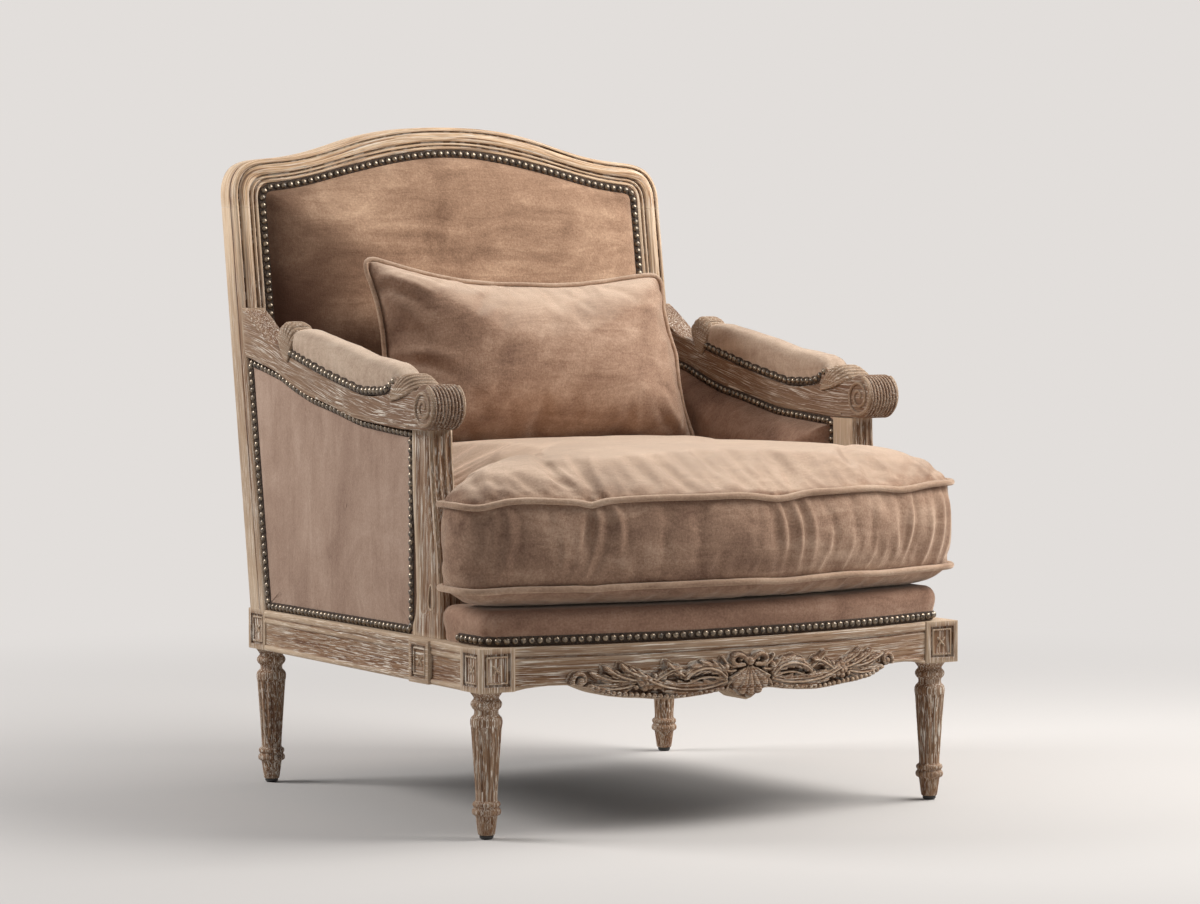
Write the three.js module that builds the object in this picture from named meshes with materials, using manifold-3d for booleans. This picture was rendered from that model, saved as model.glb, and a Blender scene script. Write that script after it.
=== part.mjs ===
// A French bergere: a show-wood armchair with closed sides, a loose seat cushion and a lumbar pillow.
// Units are millimetres and +Z is up. The front faces -Y, and left is -X.
// Pieces are made with Y = 0 on the line through the front leg axes; the last lines centre the chair.
import * as THREE from 'three';
import { mergeVertices } from 'three/addons/utils/BufferGeometryUtils.js';
import Module from 'manifold-3d';

const wasm = await Module();
wasm.setup();

// Driving dimensions of the frame
const gap = 0.3;
const lap = 1;
const frontLegSpacing = 732;
const backLegSpacing = 688;
const legDepth = 663;
const legFoot = 5;
const railBottom = 198;
const railHeight = 59;
const railTop = railBottom + railHeight;

// Legs, corner blocks and glides
const legDiameter = 44;
const legSides = 16;
const blockWidth = 55;
const blockDepth = 52;
const frontBlockLead = 4;
const backBlockLead = 7;
const panelBorder = 9;
const panelSink = 2;
const glideRadius = 9.5;
const glideFaceRadius = 7.5;
const glideRound = 2;
const shankRadius = 2;
const shankLength = 12;

// Seat rails
const frontRailThickness = 46;
const frontRailReveal = 2.5;
const frontRailBow = 50;
const apronDepth = 28;
const apronShoulder = 6;
const mouldDepth = 3.5;
const sideRailThickness = 52;
const backRailThickness = 46;
const stumpStart = 110;
const stumpLength = 53;
const stumpProud = 5;

// Back frame, which leans away from the seat
const stileSetback = 33;
const stileDepth = 47;
const stileWidth = 40.5;
const backLean = 0.15;
const stileTop = 845;
const crestRise = 122;

// Arms
const armInner = 337;
const armFrontWidth = 47.5;
const armBackWidth = 36.5;
const scrollY = 135;
const scrollZ = 570.5;
const scrollRadius = 31.5;
const armRise = 126.5;
const postInner = 333.5;
const postThickness = 35.5;
const postWidth = 58;
const postFront = 136;
const armPadHeight = 55;

// Upholstery
const deckHeight = 49;
const deckEarHalf = 373;
const deckBackHalf = 350;
const deckNeckHalf = 330;
const backBulge = 44;
const backPadDepth = 20;
const outerBackDepth = 8;
const innerArmBulge = 44;
const innerArmDepth = 14;
const outerArmDepth = 12;
const sidePanelReveal = 3;

// Loose cushion and pillow
const cushionHalf = 400;
const cushionBodyHalf = 271;
const cushionFront = 84;
const cushionRearGap = 30;
const cushionEarBack = 76;
const cushionThickness = 146;
const cushionCrown = 53;
const cushionSag = 28;
const cushionRearDrop = 10;
const cushionPinch = 8;
const weltRadius = 4.5;
const pillowLength = 526;
const pillowHeight = 272;
const pillowFrontDepth = 80;
const pillowRearDepth = 108.6;
const pillowCentreX = 18;
const pillowSetback = 104;
const pillowRaise = 7.7;
const pillowCornerIn = 34;
const pillowCornerDown = 14;
const pillowLeanDegrees = 11.3;
const pillowRollDegrees = 1;
const pillowYawDegrees = 3.5;
const pipingRadius = 3.5;

// Corner braces and their screws
const braceReach = 82;
const braceNose = 22;
const braceHeight = 34;
const screwRadius = 2.5;
const screwHeadRadius = 5;
const screwHeadHeight = 3;
const screwDepth = 22;
const screwSides = 10;

// Trim
const nailBand = 10;
const nailHeight = 2.5;
const nailInset = 6;
const rimWidth = nailInset + nailBand / 2 + gap * 6;
const tubeSides = 6;

// Values that several pieces share
const stileFoot = legDepth - stileSetback;
const cushionBack = stileFoot - cushionRearGap;
const pillowCentreY = stileFoot - pillowSetback;
const halfFront = frontLegSpacing / 2;
const halfBack = backLegSpacing / 2;
const frontBlockY = -frontBlockLead;
const backBlockY = legDepth - backBlockLead;
const stileOuter = halfBack + blockWidth / 2;
const stileInner = stileOuter - stileWidth;
const crestTop = stileTop + crestRise;
const deckTop = railTop + deckHeight;
const postTop = scrollZ - scrollRadius;
const postOuter = postInner + postThickness;
const armBackZ = scrollZ + armRise;
const frontSpan = halfFront - blockWidth / 2;
const backSpan = halfBack - blockWidth / 2;
const sideStart = frontBlockY + blockDepth / 2 + gap;
const sideEnd = backBlockY - blockDepth / 2 - gap;

const mix = THREE.MathUtils.lerp;
const point = (x, y, z) => new THREE.Vector3(x, y, z);

// Materials
const oak = new THREE.MeshStandardMaterial({ color: 0x94714e, roughness: 0.75, metalness: 0 });
const plainWood = new THREE.MeshStandardMaterial({ color: 0xb89468, roughness: 0.8, metalness: 0 });
const velvet = new THREE.MeshStandardMaterial({ color: 0xa68570, roughness: 0.95, metalness: 0 });
const brass = new THREE.MeshStandardMaterial({ color: 0x8a7350, roughness: 0.35, metalness: 0.9 });
const steel = new THREE.MeshStandardMaterial({ color: 0x777777, roughness: 0.4, metalness: 0.9 });
const jute = new THREE.MeshStandardMaterial({ color: 0xa08860, roughness: 1, metalness: 0 });
const cambric = new THREE.MeshStandardMaterial({ color: 0x2b2826, roughness: 1, metalness: 0 });
const darkPlastic = new THREE.MeshStandardMaterial({ color: 0x1d1b1a, roughness: 0.6, metalness: 0 });

// Reads a table of shares at one share: the first column is the place, the others are the values.
function readShares(table, share) {
  let row = 1;
  while (row < table.length - 1 && table[row][0] < share) row += 1;
  const low = table[row - 1];
  const high = table[row];
  const t = THREE.MathUtils.clamp((share - low[0]) / (high[0] - low[0]), 0, 1);
  return low.slice(1).map((value, i) => mix(value, high[i + 1], t));
}

// Smoothly rises from 0 to 1 as the value goes from low to high.
const rise = (value, low, high) => THREE.MathUtils.smoothstep(value, low, high);

// Makes an indexed geometry whose faces point out.
function body(points, faces) {
  let volume = 0;
  for (let i = 0; i < faces.length; i += 3) {
    const [a, b, c] = [points[faces[i]], points[faces[i + 1]], points[faces[i + 2]]];
    volume += a.dot(b.clone().cross(c));
  }
  if (volume < 0) faces.reverse();
  const geometry = new THREE.BufferGeometry().setFromPoints(points);
  geometry.setIndex(faces);
  return geometry;
}

// Fills a flat ring of points with triangles that run the same way round as the ring.
function fillRing(ring) {
  const normal = point(0, 0, 0);
  ring.forEach((p, i) => normal.add(p.clone().cross(ring[(i + 1) % ring.length])));
  const size = [Math.abs(normal.x), Math.abs(normal.y), Math.abs(normal.z)];
  const drop = size.indexOf(Math.max(...size));
  const flat = ring.map((p) => new THREE.Vector2(drop === 0 ? p.y : p.x, drop === 2 ? p.y : p.z));
  const triangles = THREE.ShapeUtils.triangulateShape(flat, []);
  const turn = ([a, b, c]) => THREE.ShapeUtils.area([flat[a], flat[b], flat[c]]);
  const total = triangles.reduce((sum, triangle) => sum + turn(triangle), 0);
  const same = total * THREE.ShapeUtils.area(flat) > 0;
  return triangles.map(([a, b, c]) => (same ? [a, b, c] : [a, c, b]));
}

// Skins rings of equally many points into one closed body, capped at both ends or looped round.
function skin(rings, looped = false) {
  const count = rings[0].length;
  const points = rings.flat();
  const faces = [];
  const spans = looped ? rings.length : rings.length - 1;
  for (let r = 0; r < spans; r += 1) {
    const near = r * count;
    const far = ((r + 1) % rings.length) * count;
    for (let i = 0; i < count; i += 1) {
      const next = (i + 1) % count;
      faces.push(near + i, near + next, far + next, near + i, far + next, far + i);
    }
  }
  if (!looped) {
    const last = (rings.length - 1) * count;
    fillRing(rings[0]).forEach(([a, b, c]) => faces.push(c, b, a));
    fillRing(rings[rings.length - 1]).forEach(([a, b, c]) => faces.push(last + a, last + b, last + c));
  }
  return body(points, faces);
}

// Turns a closed geometry into a solid for cutting and joining.
function toSolid(geometry) {
  const bare = geometry.clone();
  bare.deleteAttribute('normal');
  bare.deleteAttribute('uv');
  const merged = mergeVertices(bare);
  const index = Array.from(merged.index.array);
  const kept = [];
  for (let i = 0; i < index.length; i += 3) {
    const [a, b, c] = index.slice(i, i + 3);
    if (a !== b && b !== c && c !== a) kept.push(a, b, c);
  }
  const mesh = new wasm.Mesh({
    numProp: 3,
    vertProperties: new Float32Array(merged.attributes.position.array),
    triVerts: new Uint32Array(kept),
  });
  return new wasm.Manifold(mesh);
}

function toGeometry(solid) {
  const mesh = solid.getMesh();
  const geometry = new THREE.BufferGeometry();
  geometry.setAttribute('position', new THREE.BufferAttribute(mesh.vertProperties, 3));
  geometry.setIndex(new THREE.BufferAttribute(mesh.triVerts, 1));
  return geometry;
}

function join(first, ...others) {
  return toGeometry(others.reduce((sum, other) => sum.add(toSolid(other)), toSolid(first)));
}

function cut(first, ...others) {
  return toGeometry(others.reduce((rest, other) => rest.subtract(toSolid(other)), toSolid(first)));
}

// A box between two corners.
function boxBetween(x0, x1, y0, y1, z0, z1) {
  const box = new THREE.BoxGeometry(Math.abs(x1 - x0), y1 - y0, z1 - z0);
  return box.translate((x0 + x1) / 2, (y0 + y1) / 2, (z0 + z1) / 2);
}

// Moves each point of a flat closed outline towards its inside by the same distance.
function inset(outline, distance) {
  const sign = Math.sign(THREE.ShapeUtils.area(outline));
  return outline.map((p, i) => {
    const before = outline[(i + outline.length - 1) % outline.length];
    const after = outline[(i + 1) % outline.length];
    const a = p.clone().sub(before).normalize();
    const b = after.clone().sub(p).normalize();
    const normal = new THREE.Vector2(-(a.y + b.y), a.x + b.x).normalize();
    const stretch = Math.max(normal.dot(new THREE.Vector2(-a.y, a.x)), Math.SQRT1_2);
    return p.clone().addScaledVector(normal, (sign * distance) / stretch);
  });
}

// Draws an outline in about its centre by a share, for the rings of a crown.
function shrink(outline, centre, share) {
  return outline.map((p) => p.clone().sub(centre).multiplyScalar(share).add(centre));
}

// A tube round a closed loop. Each place has a point and two directions square to the loop.
function loopTube(places, radius, sides) {
  const rings = places.map(({ at, across, up }) =>
    Array.from({ length: sides }, (_, i) => {
      const angle = (i / sides) * Math.PI * 2;
      return at
        .clone()
        .addScaledVector(across, Math.cos(angle) * radius)
        .addScaledVector(up, Math.sin(angle) * radius);
    }),
  );
  return skin(rings, true);
}

// A band of nail heads: a low ridge along a path, on the surface that faces out.
function nailStrip(path, out, looped = false) {
  const rings = path.map((p, i) => {
    const before = looped ? path[(i + path.length - 1) % path.length] : path[Math.max(i - 1, 0)];
    const after = looped ? path[(i + 1) % path.length] : path[Math.min(i + 1, path.length - 1)];
    const direction = Array.isArray(out) ? out[i] : out;
    const across = after.clone().sub(before).cross(direction).normalize();
    const place = (side, height) => p.clone().addScaledVector(across, side).addScaledVector(direction, height);
    const half = nailBand / 2;
    return [
      place(-half, gap),
      place(-half / 2, nailHeight),
      place(half / 2, nailHeight),
      place(half, gap),
    ];
  });
  return skin(rings, looped);
}

const chair = new THREE.Group();

function addPiece(name, geometry, material, parent = chair) {
  const mesh = new THREE.Mesh(geometry, material);
  mesh.name = name;
  parent.add(mesh);
}

const sides = [
  ['left', -1],
  ['right', 1],
];

// The outer face of the side rails and stump blocks runs straight from front block to back block.
const sideOuter = (y) => mix(halfFront, halfBack, y / legDepth) + blockWidth / 2;
// The front rail bows forward between the corner blocks.
const frontFace = (x) => {
  const ends = frontBlockY - blockDepth / 2 + frontRailReveal;
  return ends - frontRailBow * (1 - (x / frontSpan) ** 2);
};
const stileFront = (z) => stileFoot + (z - railTop) * backLean;
const armEnd = stileFront(armBackZ);
const armSpan = armEnd - scrollY;
const armShare = (y) => (y - scrollY) / armSpan;
const armOuter = (y) => armInner + mix(armFrontWidth, armBackWidth, armShare(y));

// A turned leg on the Z axis, with a bore for the glide's shank.
// Rows are the height and the width as shares of the leg.
const legShares = [
  [0, 0.5], [0.14, 0.68], [0.145, 0.84], [0.166, 0.91], [0.187, 0.8], [0.197, 0.8], [0.212, 0.875],
  [0.233, 0.8], [0.24, 0.68], [0.275, 0.68], [0.75, 0.95], [0.8, 1], [0.825, 0.92], [0.84, 0.75],
  [0.876, 0.75], [0.892, 0.9], [0.912, 0.98], [0.933, 0.9], [0.948, 0.77], [0.964, 0.82], [1, 1],
];

function turnedLeg(x, y) {
  const height = railBottom - legFoot;
  const profile = [
    new THREE.Vector2(0, legFoot + shankLength),
    new THREE.Vector2(shankRadius + gap, legFoot + shankLength),
    new THREE.Vector2(shankRadius + gap, legFoot),
    ...legShares.map(([h, w]) => new THREE.Vector2((w * legDiameter) / 2, legFoot + h * height)),
    new THREE.Vector2(legDiameter / 2, railBottom + lap),
    new THREE.Vector2(0, railBottom + lap),
  ];
  return new THREE.LatheGeometry(profile, legSides).rotateX(Math.PI / 2).translate(x, y, 0);
}

function glide(x, y) {
  const seat = legFoot - gap;
  const profile = [
    new THREE.Vector2(0, 0),
    new THREE.Vector2(glideFaceRadius, 0),
    new THREE.Vector2(glideRadius, glideRound),
    new THREE.Vector2(glideRadius, seat),
    new THREE.Vector2(shankRadius, seat),
    new THREE.Vector2(shankRadius, legFoot + shankLength - gap),
    new THREE.Vector2(0, legFoot + shankLength - gap),
  ];
  return new THREE.LatheGeometry(profile, legSides).rotateX(Math.PI / 2).translate(x, y, 0);
}

// A square corner block with a sunk panel on its outer side and on its front or back face.
function cornerBlock(x, y, side, face) {
  const half = { x: blockWidth / 2, y: blockDepth / 2 };
  const low = railBottom + panelBorder;
  const high = railTop - panelBorder;
  const block = boxBetween(x - half.x, x + half.x, y - half.y, y + half.y, railBottom, railTop);
  const outer = x + side * half.x;
  const flank = y + face * half.y;
  const sidePanel = boxBetween(
    outer - side * panelSink, outer + side * lap,
    y - half.y + panelBorder, y + half.y - panelBorder, low, high,
  );
  const facePanel = boxBetween(
    x - half.x + panelBorder, x + half.x - panelBorder,
    Math.min(flank - face * panelSink, flank + face * lap),
    Math.max(flank - face * panelSink, flank + face * lap), low, high,
  );
  return cut(block, sidePanel, facePanel);
}

// The moulding of the back frame. Rows are the share from outer edge to inner edge and of the depth.
const frameShares = [
  [0, 0.16], [0.08, 0.05], [0.2, 0], [0.3, 0.07], [0.42, 0.12], [0.6, 0.13], [0.78, 0.08], [0.88, 0.01],
  [0.96, 0.02], [1, 0.09], [1, 1], [0, 1],
];

// A ring of the back frame between an outer and an inner edge point, both given as x and z.
function frameRing(outer, inner) {
  return frameShares.map(([u, v]) => {
    const z = mix(outer.y, inner.y, u);
    return point(mix(outer.x, inner.x, u), stileFront(z) + v * stileDepth, z);
  });
}

function backPost(side) {
  const level = (z) =>
    frameRing(new THREE.Vector2(side * stileOuter, z), new THREE.Vector2(side * stileInner, z));
  const stile = skin([level(railTop - lap), level(stileTop - gap)]);
  return join(
    turnedLeg(side * halfBack, legDepth),
    cornerBlock(side * halfBack, backBlockY, side, 1),
    stile,
  );
}

for (const [label, side] of sides) {
  const front = join(
    turnedLeg(side * halfFront, 0),
    cornerBlock(side * halfFront, frontBlockY, side, -1),
  );
  addPiece(`front_${label}_leg`, drillForScrew(front, side, -1), oak);
  addPiece(`back_${label}_post`, drillForScrew(backPost(side), side, 1), oak);
  addPiece(`front_${label}_glide`, glide(side * halfFront, 0), darkPlastic);
  addPiece(`back_${label}_glide`, glide(side * halfBack, legDepth), darkPlastic);
}

// The crest rail. Rows hold x and rise of the outer edge, then of the inner edge.
// They run from the joint with the stile to the middle of the crest.
function crestPairs() {
  const shares = [
    [1, 0, 0.891, 0], [1, 0.14, 0.891, 0.105], [0.994, 0.27, 0.888, 0.17], [0.978, 0.385, 0.882, 0.215],
    [0.955, 0.47, 0.872, 0.25], [0.922, 0.53, 0.86, 0.275], [0.875, 0.568, 0.84, 0.292],
    [0.808, 0.59, 0.787, 0.31], [0.727, 0.615, 0.71, 0.345], [0.633, 0.668, 0.62, 0.405],
    [0.538, 0.745, 0.528, 0.475], [0.444, 0.832, 0.436, 0.54], [0.35, 0.902, 0.342, 0.602],
    [0.242, 0.959, 0.237, 0.662], [0.121, 0.992, 0.118, 0.71], [0, 1, 0, 0.725],
  ];
  const reach = stileInner / stileOuter;
  const firstInner = shares[0][2];
  const pairs = shares.map(([ox, oz, ix, iz]) => ({
    outer: new THREE.Vector2(ox * stileOuter, stileTop + oz * crestRise),
    inner: new THREE.Vector2(((ix * reach) / firstInner) * stileOuter, stileTop + iz * crestRise),
  }));
  const flip = (p) => new THREE.Vector2(-p.x, p.y);
  const left = pairs.map(({ outer, inner }) => ({ outer: flip(outer), inner: flip(inner) }));
  return [...left, ...pairs.slice(0, -1).reverse()];
}

const crest = crestPairs();
addPiece('crest_rail', skin(crest.map(({ outer, inner }) => frameRing(outer, inner))), oak);

// The front rail, with its apron. Rows are the place from middle to end and the drop below the shoulder.
const apronShares = [
  [0, 1], [0.05, 0.72], [0.1, 0.54], [0.175, 0.64], [0.35, 0.79], [0.48, 0.68], [0.63, 0.54], [0.71, 0.22],
  [0.775, 0], [0.89, 0], [1, 0.2],
];
const apronStations = 32;

function apronBottom(x) {
  const [drop] = readShares(apronShares, Math.abs(x) / frontSpan);
  return railBottom + apronShoulder - drop * apronDepth;
}

// The groove under the rail's top edge. Rows are the sink and the drop as shares of the moulding.
const grooveShares = [[0, 1], [0.25, 0.875], [0.25, 0.625], [0, 0.5], [0, 0.125], [0.125, 0]];
const railMoulding = 14;

function frontRail() {
  const rings = [];
  for (let i = 0; i <= apronStations; i += 1) {
    const x = mix(-frontSpan + gap, frontSpan - gap, i / apronStations);
    const face = frontFace(x);
    const moulding = grooveShares.map(([sink, drop]) =>
      point(x, face + sink * railMoulding, railTop - drop * railMoulding));
    rings.push([
      point(x, face, apronBottom(x)),
      ...moulding,
      point(x, face + frontRailThickness, railTop),
      point(x, face + frontRailThickness, apronBottom(x)),
    ]);
  }
  return skin(rings);
}
addPiece('front_rail', frontRail(), oak);

// The carving on the apron: a shell in the middle and leaves to both sides.
// Rows are the place from middle to tip, the height above the apron's edge, and the relief.
const carvingReach = 272;
const carvingRelief = 11;
const carvingHeight = 57;
const carvingLift = 2;
const carvingStations = 36;
const carvingShares = [
  [0, 1, 1], [0.08, 0.84, 1], [0.15, 0.72, 0.8], [0.22, 0.5, 0.55], [0.35, 0.63, 0.7], [0.5, 0.72, 0.75],
  [0.62, 0.66, 0.6], [0.72, 0.72, 0.75], [0.84, 0.66, 0.7], [0.94, 0.46, 0.5], [1, 0.2, 0.25],
];
// Rows are the relief and the height of the carving's section.
const reliefShares = [[0, 0], [0.6, 0.1], [1, 0.4], [0.7, 0.8], [0, 1]];

function apronCarving() {
  const rings = [];
  for (let i = 0; i <= carvingStations; i += 1) {
    const share = mix(-1, 1, i / carvingStations);
    const x = share * carvingReach;
    const [tall, deep] = readShares(carvingShares, Math.abs(share));
    const low = apronBottom(x) + carvingLift;
    const high = Math.min(low + tall * carvingHeight, railTop - railMoulding);
    const back = frontFace(x) - gap;
    rings.push(reliefShares.map(([out, up]) =>
      point(x, back - out * deep * carvingRelief, mix(low, high, up))));
  }
  return skin(rings);
}
addPiece('apron_carving', apronCarving(), oak);

// Side rails: a moulded length with a square stump block under the arm post.
// Rows are the share of the moulding's depth and of the rail's height.
const sideShares = [
  [0.3, 0], [0, 0.03], [0, 0.14], [1, 0.18], [1, 0.68], [0.3, 0.72], [0.3, 0.84], [0, 0.87], [0, 0.96],
  [0.5, 1],
];

function sideRail(side) {
  const level = (y) => {
    const outer = sideOuter(y);
    const face = sideShares.map(([d, h]) =>
      point(side * (outer - d * mouldDepth), y, railBottom + h * railHeight));
    const inner = side * (outer - sideRailThickness);
    return [...face, point(inner, y, railTop), point(inner, y, railBottom)];
  };
  const block = (y) => {
    const outer = side * (sideOuter(y) + stumpProud);
    const inner = side * (sideOuter(y) - sideRailThickness / 2);
    return [
      point(outer, y, railBottom), point(outer, y, railTop),
      point(inner, y, railTop), point(inner, y, railBottom),
    ];
  };
  const stumpEnd = stumpStart + stumpLength;
  const face = sideOuter(stumpStart + stumpLength / 2) + stumpProud;
  const panel = boxBetween(
    side * (face - panelSink), side * (face + panelSink + lap),
    stumpStart + panelBorder, stumpEnd - panelBorder,
    railBottom + panelBorder, railTop - panelBorder,
  );
  return cut(
    join(skin([level(sideStart), level(sideEnd)]), skin([block(stumpStart), block(stumpEnd)])),
    panel,
  );
}
for (const [label, side] of sides) {
  const rail = drillForScrew(drillForScrew(sideRail(side), side, -1), side, 1);
  addPiece(`${label}_side_rail`, rail, oak);
}

const backRailFace = backBlockY + blockDepth / 2 - frontRailReveal;
addPiece(
  'back_rail',
  boxBetween(
    -backSpan + gap, backSpan - gap, backRailFace - backRailThickness, backRailFace, railBottom, railTop,
  ),
  plainWood,
);

// Corner braces, screwed at half a right angle into the corner blocks.

// Where one corner's brace sits. face is -1 at the front and 1 at the back.
function braceCorner(side, face) {
  const front = face < 0;
  const x = side * ((front ? frontSpan : backSpan) - gap);
  const y = front ? frontBlockY + blockDepth / 2 + gap : backBlockY - blockDepth / 2 - gap;
  const z = (railBottom + railTop) / 2;
  return { x, y, z, toCentre: new THREE.Vector2(-side, -face).normalize() };
}

// A straight rod from one place in the plan along the brace's direction, with a wider head.
function braceScrew(side, face, clearance) {
  const { x, y, z, toCentre } = braceCorner(side, face);
  const length = braceReach / Math.SQRT2 + screwDepth;
  const profile = [
    new THREE.Vector2(0, -clearance),
    new THREE.Vector2(screwRadius + clearance, -clearance),
    new THREE.Vector2(screwRadius + clearance, length - clearance),
    new THREE.Vector2(screwHeadRadius, length + (clearance > 0 ? lap : gap)),
    new THREE.Vector2(screwHeadRadius, length + screwHeadHeight),
    new THREE.Vector2(0, length + screwHeadHeight),
  ];
  const turn = Math.atan2(toCentre.y, toCentre.x) - Math.PI / 2;
  return new THREE.LatheGeometry(profile, screwSides)
    .rotateZ(turn)
    .translate(x - toCentre.x * screwDepth, y - toCentre.y * screwDepth, z);
}

function drillForScrew(piece, side, face) {
  return cut(piece, braceScrew(side, face, gap));
}

function cornerBrace(side, face) {
  const { x, y, z } = braceCorner(side, face);
  const sideFace = (along) => side * (sideOuter(along) - sideRailThickness - gap);
  const endFace = (across) =>
    face < 0 ? frontFace(across) + frontRailThickness + gap : backRailFace - backRailThickness - gap;
  const nose = y - face * gap;
  const outline = [
    new THREE.Vector2(sideFace(y - face * braceNose), y - face * braceNose),
    new THREE.Vector2(sideFace(y - face * braceReach), y - face * braceReach),
    new THREE.Vector2(x - side * braceReach, endFace(x - side * braceReach)),
    new THREE.Vector2(x - side * braceReach * 0.6, endFace(x - side * braceReach * 0.6)),
    new THREE.Vector2(x - side * braceNose, endFace(x - side * braceNose)),
    new THREE.Vector2(x - side * braceNose, nose),
  ];
  const level = (height) => outline.map((p) => point(p.x, p.y, height));
  return cut(skin([level(z - braceHeight / 2), level(z + braceHeight / 2)]), braceScrew(side, face, gap));
}

for (const [label, side] of sides) {
  for (const [end, face] of [['front', -1], ['back', 1]]) {
    addPiece(`${end}_${label}_brace`, cornerBrace(side, face), plainWood);
    addPiece(`${end}_${label}_brace_screw`, braceScrew(side, face, 0), steel);
  }
}

// Arm posts. Rows are the height, and the front and back edges as shares of the post's width.
const postShares = [
  [0, -0.36, 1], [0.045, -0.36, 1], [0.1, -0.35, 0.84], [0.185, -0.36, 0.8], [0.43, -0.22, 0.86],
  [0.69, 0, 0.98], [0.9, 0.1, 0.99], [1, 0.12, 1],
];
const postChamfer = 3;
const postFoot = railTop + gap;

function armPost(side) {
  const rings = postShares.map(([h, front, back]) => {
    const z = mix(postFoot, postTop - gap, h);
    const y0 = postFront + front * postWidth;
    const y1 = postFront + back * postWidth;
    return [
      point(side * postInner, y0 + postChamfer, z), point(side * (postInner + postChamfer), y0, z),
      point(side * (postOuter - postChamfer), y0, z), point(side * postOuter, y0 + postChamfer, z),
      point(side * postOuter, y1, z), point(side * postInner, y1, z),
    ];
  });
  return skin(rings);
}

// Arm rails: a side outline with the scroll at the front and a leaf curl at each end of the pad.
// Rows are the place along the arm and the height, as shares of the arm's length and rise.
const armLowShares = [
  [0.105, -0.249], [0.12, -0.249], [0.207, -0.225], [0.37, -0.17], [0.522, -0.036], [0.625, 0.04],
  [0.713, 0.146], [0.802, 0.28], [0.91, 0.38], [1, 0.44],
];
const armSeatShares = [
  [0.175, 0.13], [0.225, 0.1], [0.326, 0.09], [0.515, 0.25], [0.69, 0.43], [0.81, 0.58],
];
const frontCurlShares = [[0.075, 0.17], [0.125, 0.18], [0.138, 0.27], [0.154, 0.32], [0.168, 0.27]];
const backCurlShares = [
  [0.815, 0.75], [0.829, 0.88], [0.845, 0.865], [0.856, 0.76], [0.888, 0.79], [0.935, 0.87],
];
const scrollSteps = 18;
const scrollTurn = 3.9;

const armPlace = (share, height) => new THREE.Vector2(scrollY + share * armSpan, scrollZ + height * armRise);
const armLow = (y) => scrollZ + readShares(armLowShares, armShare(y))[0] * armRise;
const armSeat = (y) => scrollZ + readShares(armSeatShares, armShare(y))[0] * armRise;
const armEndZ = scrollZ + armLowShares[armLowShares.length - 1][1] * armRise;

function armOutline() {
  const first = Math.PI * 1.5;
  const arc = Array.from({ length: scrollSteps + 1 }, (_, i) => {
    const angle = first - (i / scrollSteps) * scrollTurn;
    return new THREE.Vector2(
      scrollY + scrollRadius * Math.cos(angle), scrollZ + scrollRadius * Math.sin(angle));
  });
  const top = [...frontCurlShares, ...armSeatShares, ...backCurlShares].map(([s, h]) => armPlace(s, h));
  const end = [
    new THREE.Vector2(stileFront(armBackZ) - gap, armBackZ),
    new THREE.Vector2(stileFront(armEndZ) - gap, armEndZ),
  ];
  const low = armLowShares.slice(1, -1).reverse().map(([s, h]) => armPlace(s, h));
  return [...arc, ...top, ...end, ...low, new THREE.Vector2(postFront + postWidth, postTop)];
}

function armRail(side) {
  const outline = armOutline();
  const inner = outline.map((p) => point(side * armInner, p.x, p.y));
  const outer = outline.map((p) => point(side * armOuter(p.x), p.x, p.y));
  return skin([inner, outer]);
}

for (const [label, side] of sides) {
  addPiece(`${label}_arm_post`, armPost(side), oak);
  addPiece(`${label}_arm_rail`, armRail(side), oak);
}

// Arm pads: a domed roll on each arm between the two leaf curls.
// Rows are the share of the half width and of the pad's height, round one half of the section.
const padSectionShares = [[0.92, 0], [0.92, 0.26], [1, 0.45], [0.93, 0.72], [0.55, 0.96], [0, 1]];
// Rows are the place along the pad, its height and its width.
const padEndShares = [
  [0, 0.45, 0.8], [0.04, 0.66, 0.93], [0.14, 0.84, 1], [0.3, 0.98, 1], [0.5, 1, 1], [0.72, 0.94, 1],
  [0.88, 0.88, 1], [0.96, 0.75, 0.95], [1, 0.5, 0.85],
];
const padStart = armPlace(armSeatShares[0][0], 0).x;
const padFinish = armPlace(armSeatShares[armSeatShares.length - 1][0], 0).x;
const padMiddle = (y) => (armInner + armOuter(y)) / 2;
const padHalf = (y) => (armOuter(y) - armInner) / 2;

function armPad(side) {
  const places = padEndShares.flatMap((row, i) => {
    const next = padEndShares[i + 1];
    return next ? [row, row.map((value, k) => mix(value, next[k], 0.5))] : [row];
  });
  const rings = places.map(([share, tall, wide]) => {
    const y = mix(padStart + gap, padFinish - gap, share);
    const base = armSeat(y) + gap * 2;
    const place = ([w, h], sign) =>
      point(side * (padMiddle(y) + sign * w * wide * padHalf(y)), y, base + h * tall * armPadHeight);
    const half = padSectionShares.map((row) => place(row, 1));
    const other = padSectionShares.slice(0, -1).reverse().map((row) => place(row, -1));
    return [...half, ...other];
  });
  return skin(rings);
}

const padNailSteps = 14;
const padNailLift = 0.9;

// One belt of nails along the side of an arm pad. flank is 1 on the outer side, -1 on the inner side.
function armPadNails(side, flank) {
  const path = Array.from({ length: padNailSteps + 1 }, (_, i) => {
    const share = mix(padEndShares[1][0], padEndShares[padEndShares.length - 2][0], i / padNailSteps);
    const y = mix(padStart, padFinish, share);
    const x = padMiddle(y) + flank * padSectionShares[0][0] * padHalf(y) + flank * gap;
    return point(side * x, y, armSeat(y) + nailBand / 2 + padNailLift);
  });
  return nailStrip(path, point(side * flank, 0, 0));
}

for (const [label, side] of sides) {
  addPiece(`${label}_arm_pad`, armPad(side), velvet);
  addPiece(`${label}_arm_pad_outer_nails`, armPadNails(side, 1), brass);
  addPiece(`${label}_arm_pad_inner_nails`, armPadNails(side, -1), brass);
}

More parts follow.
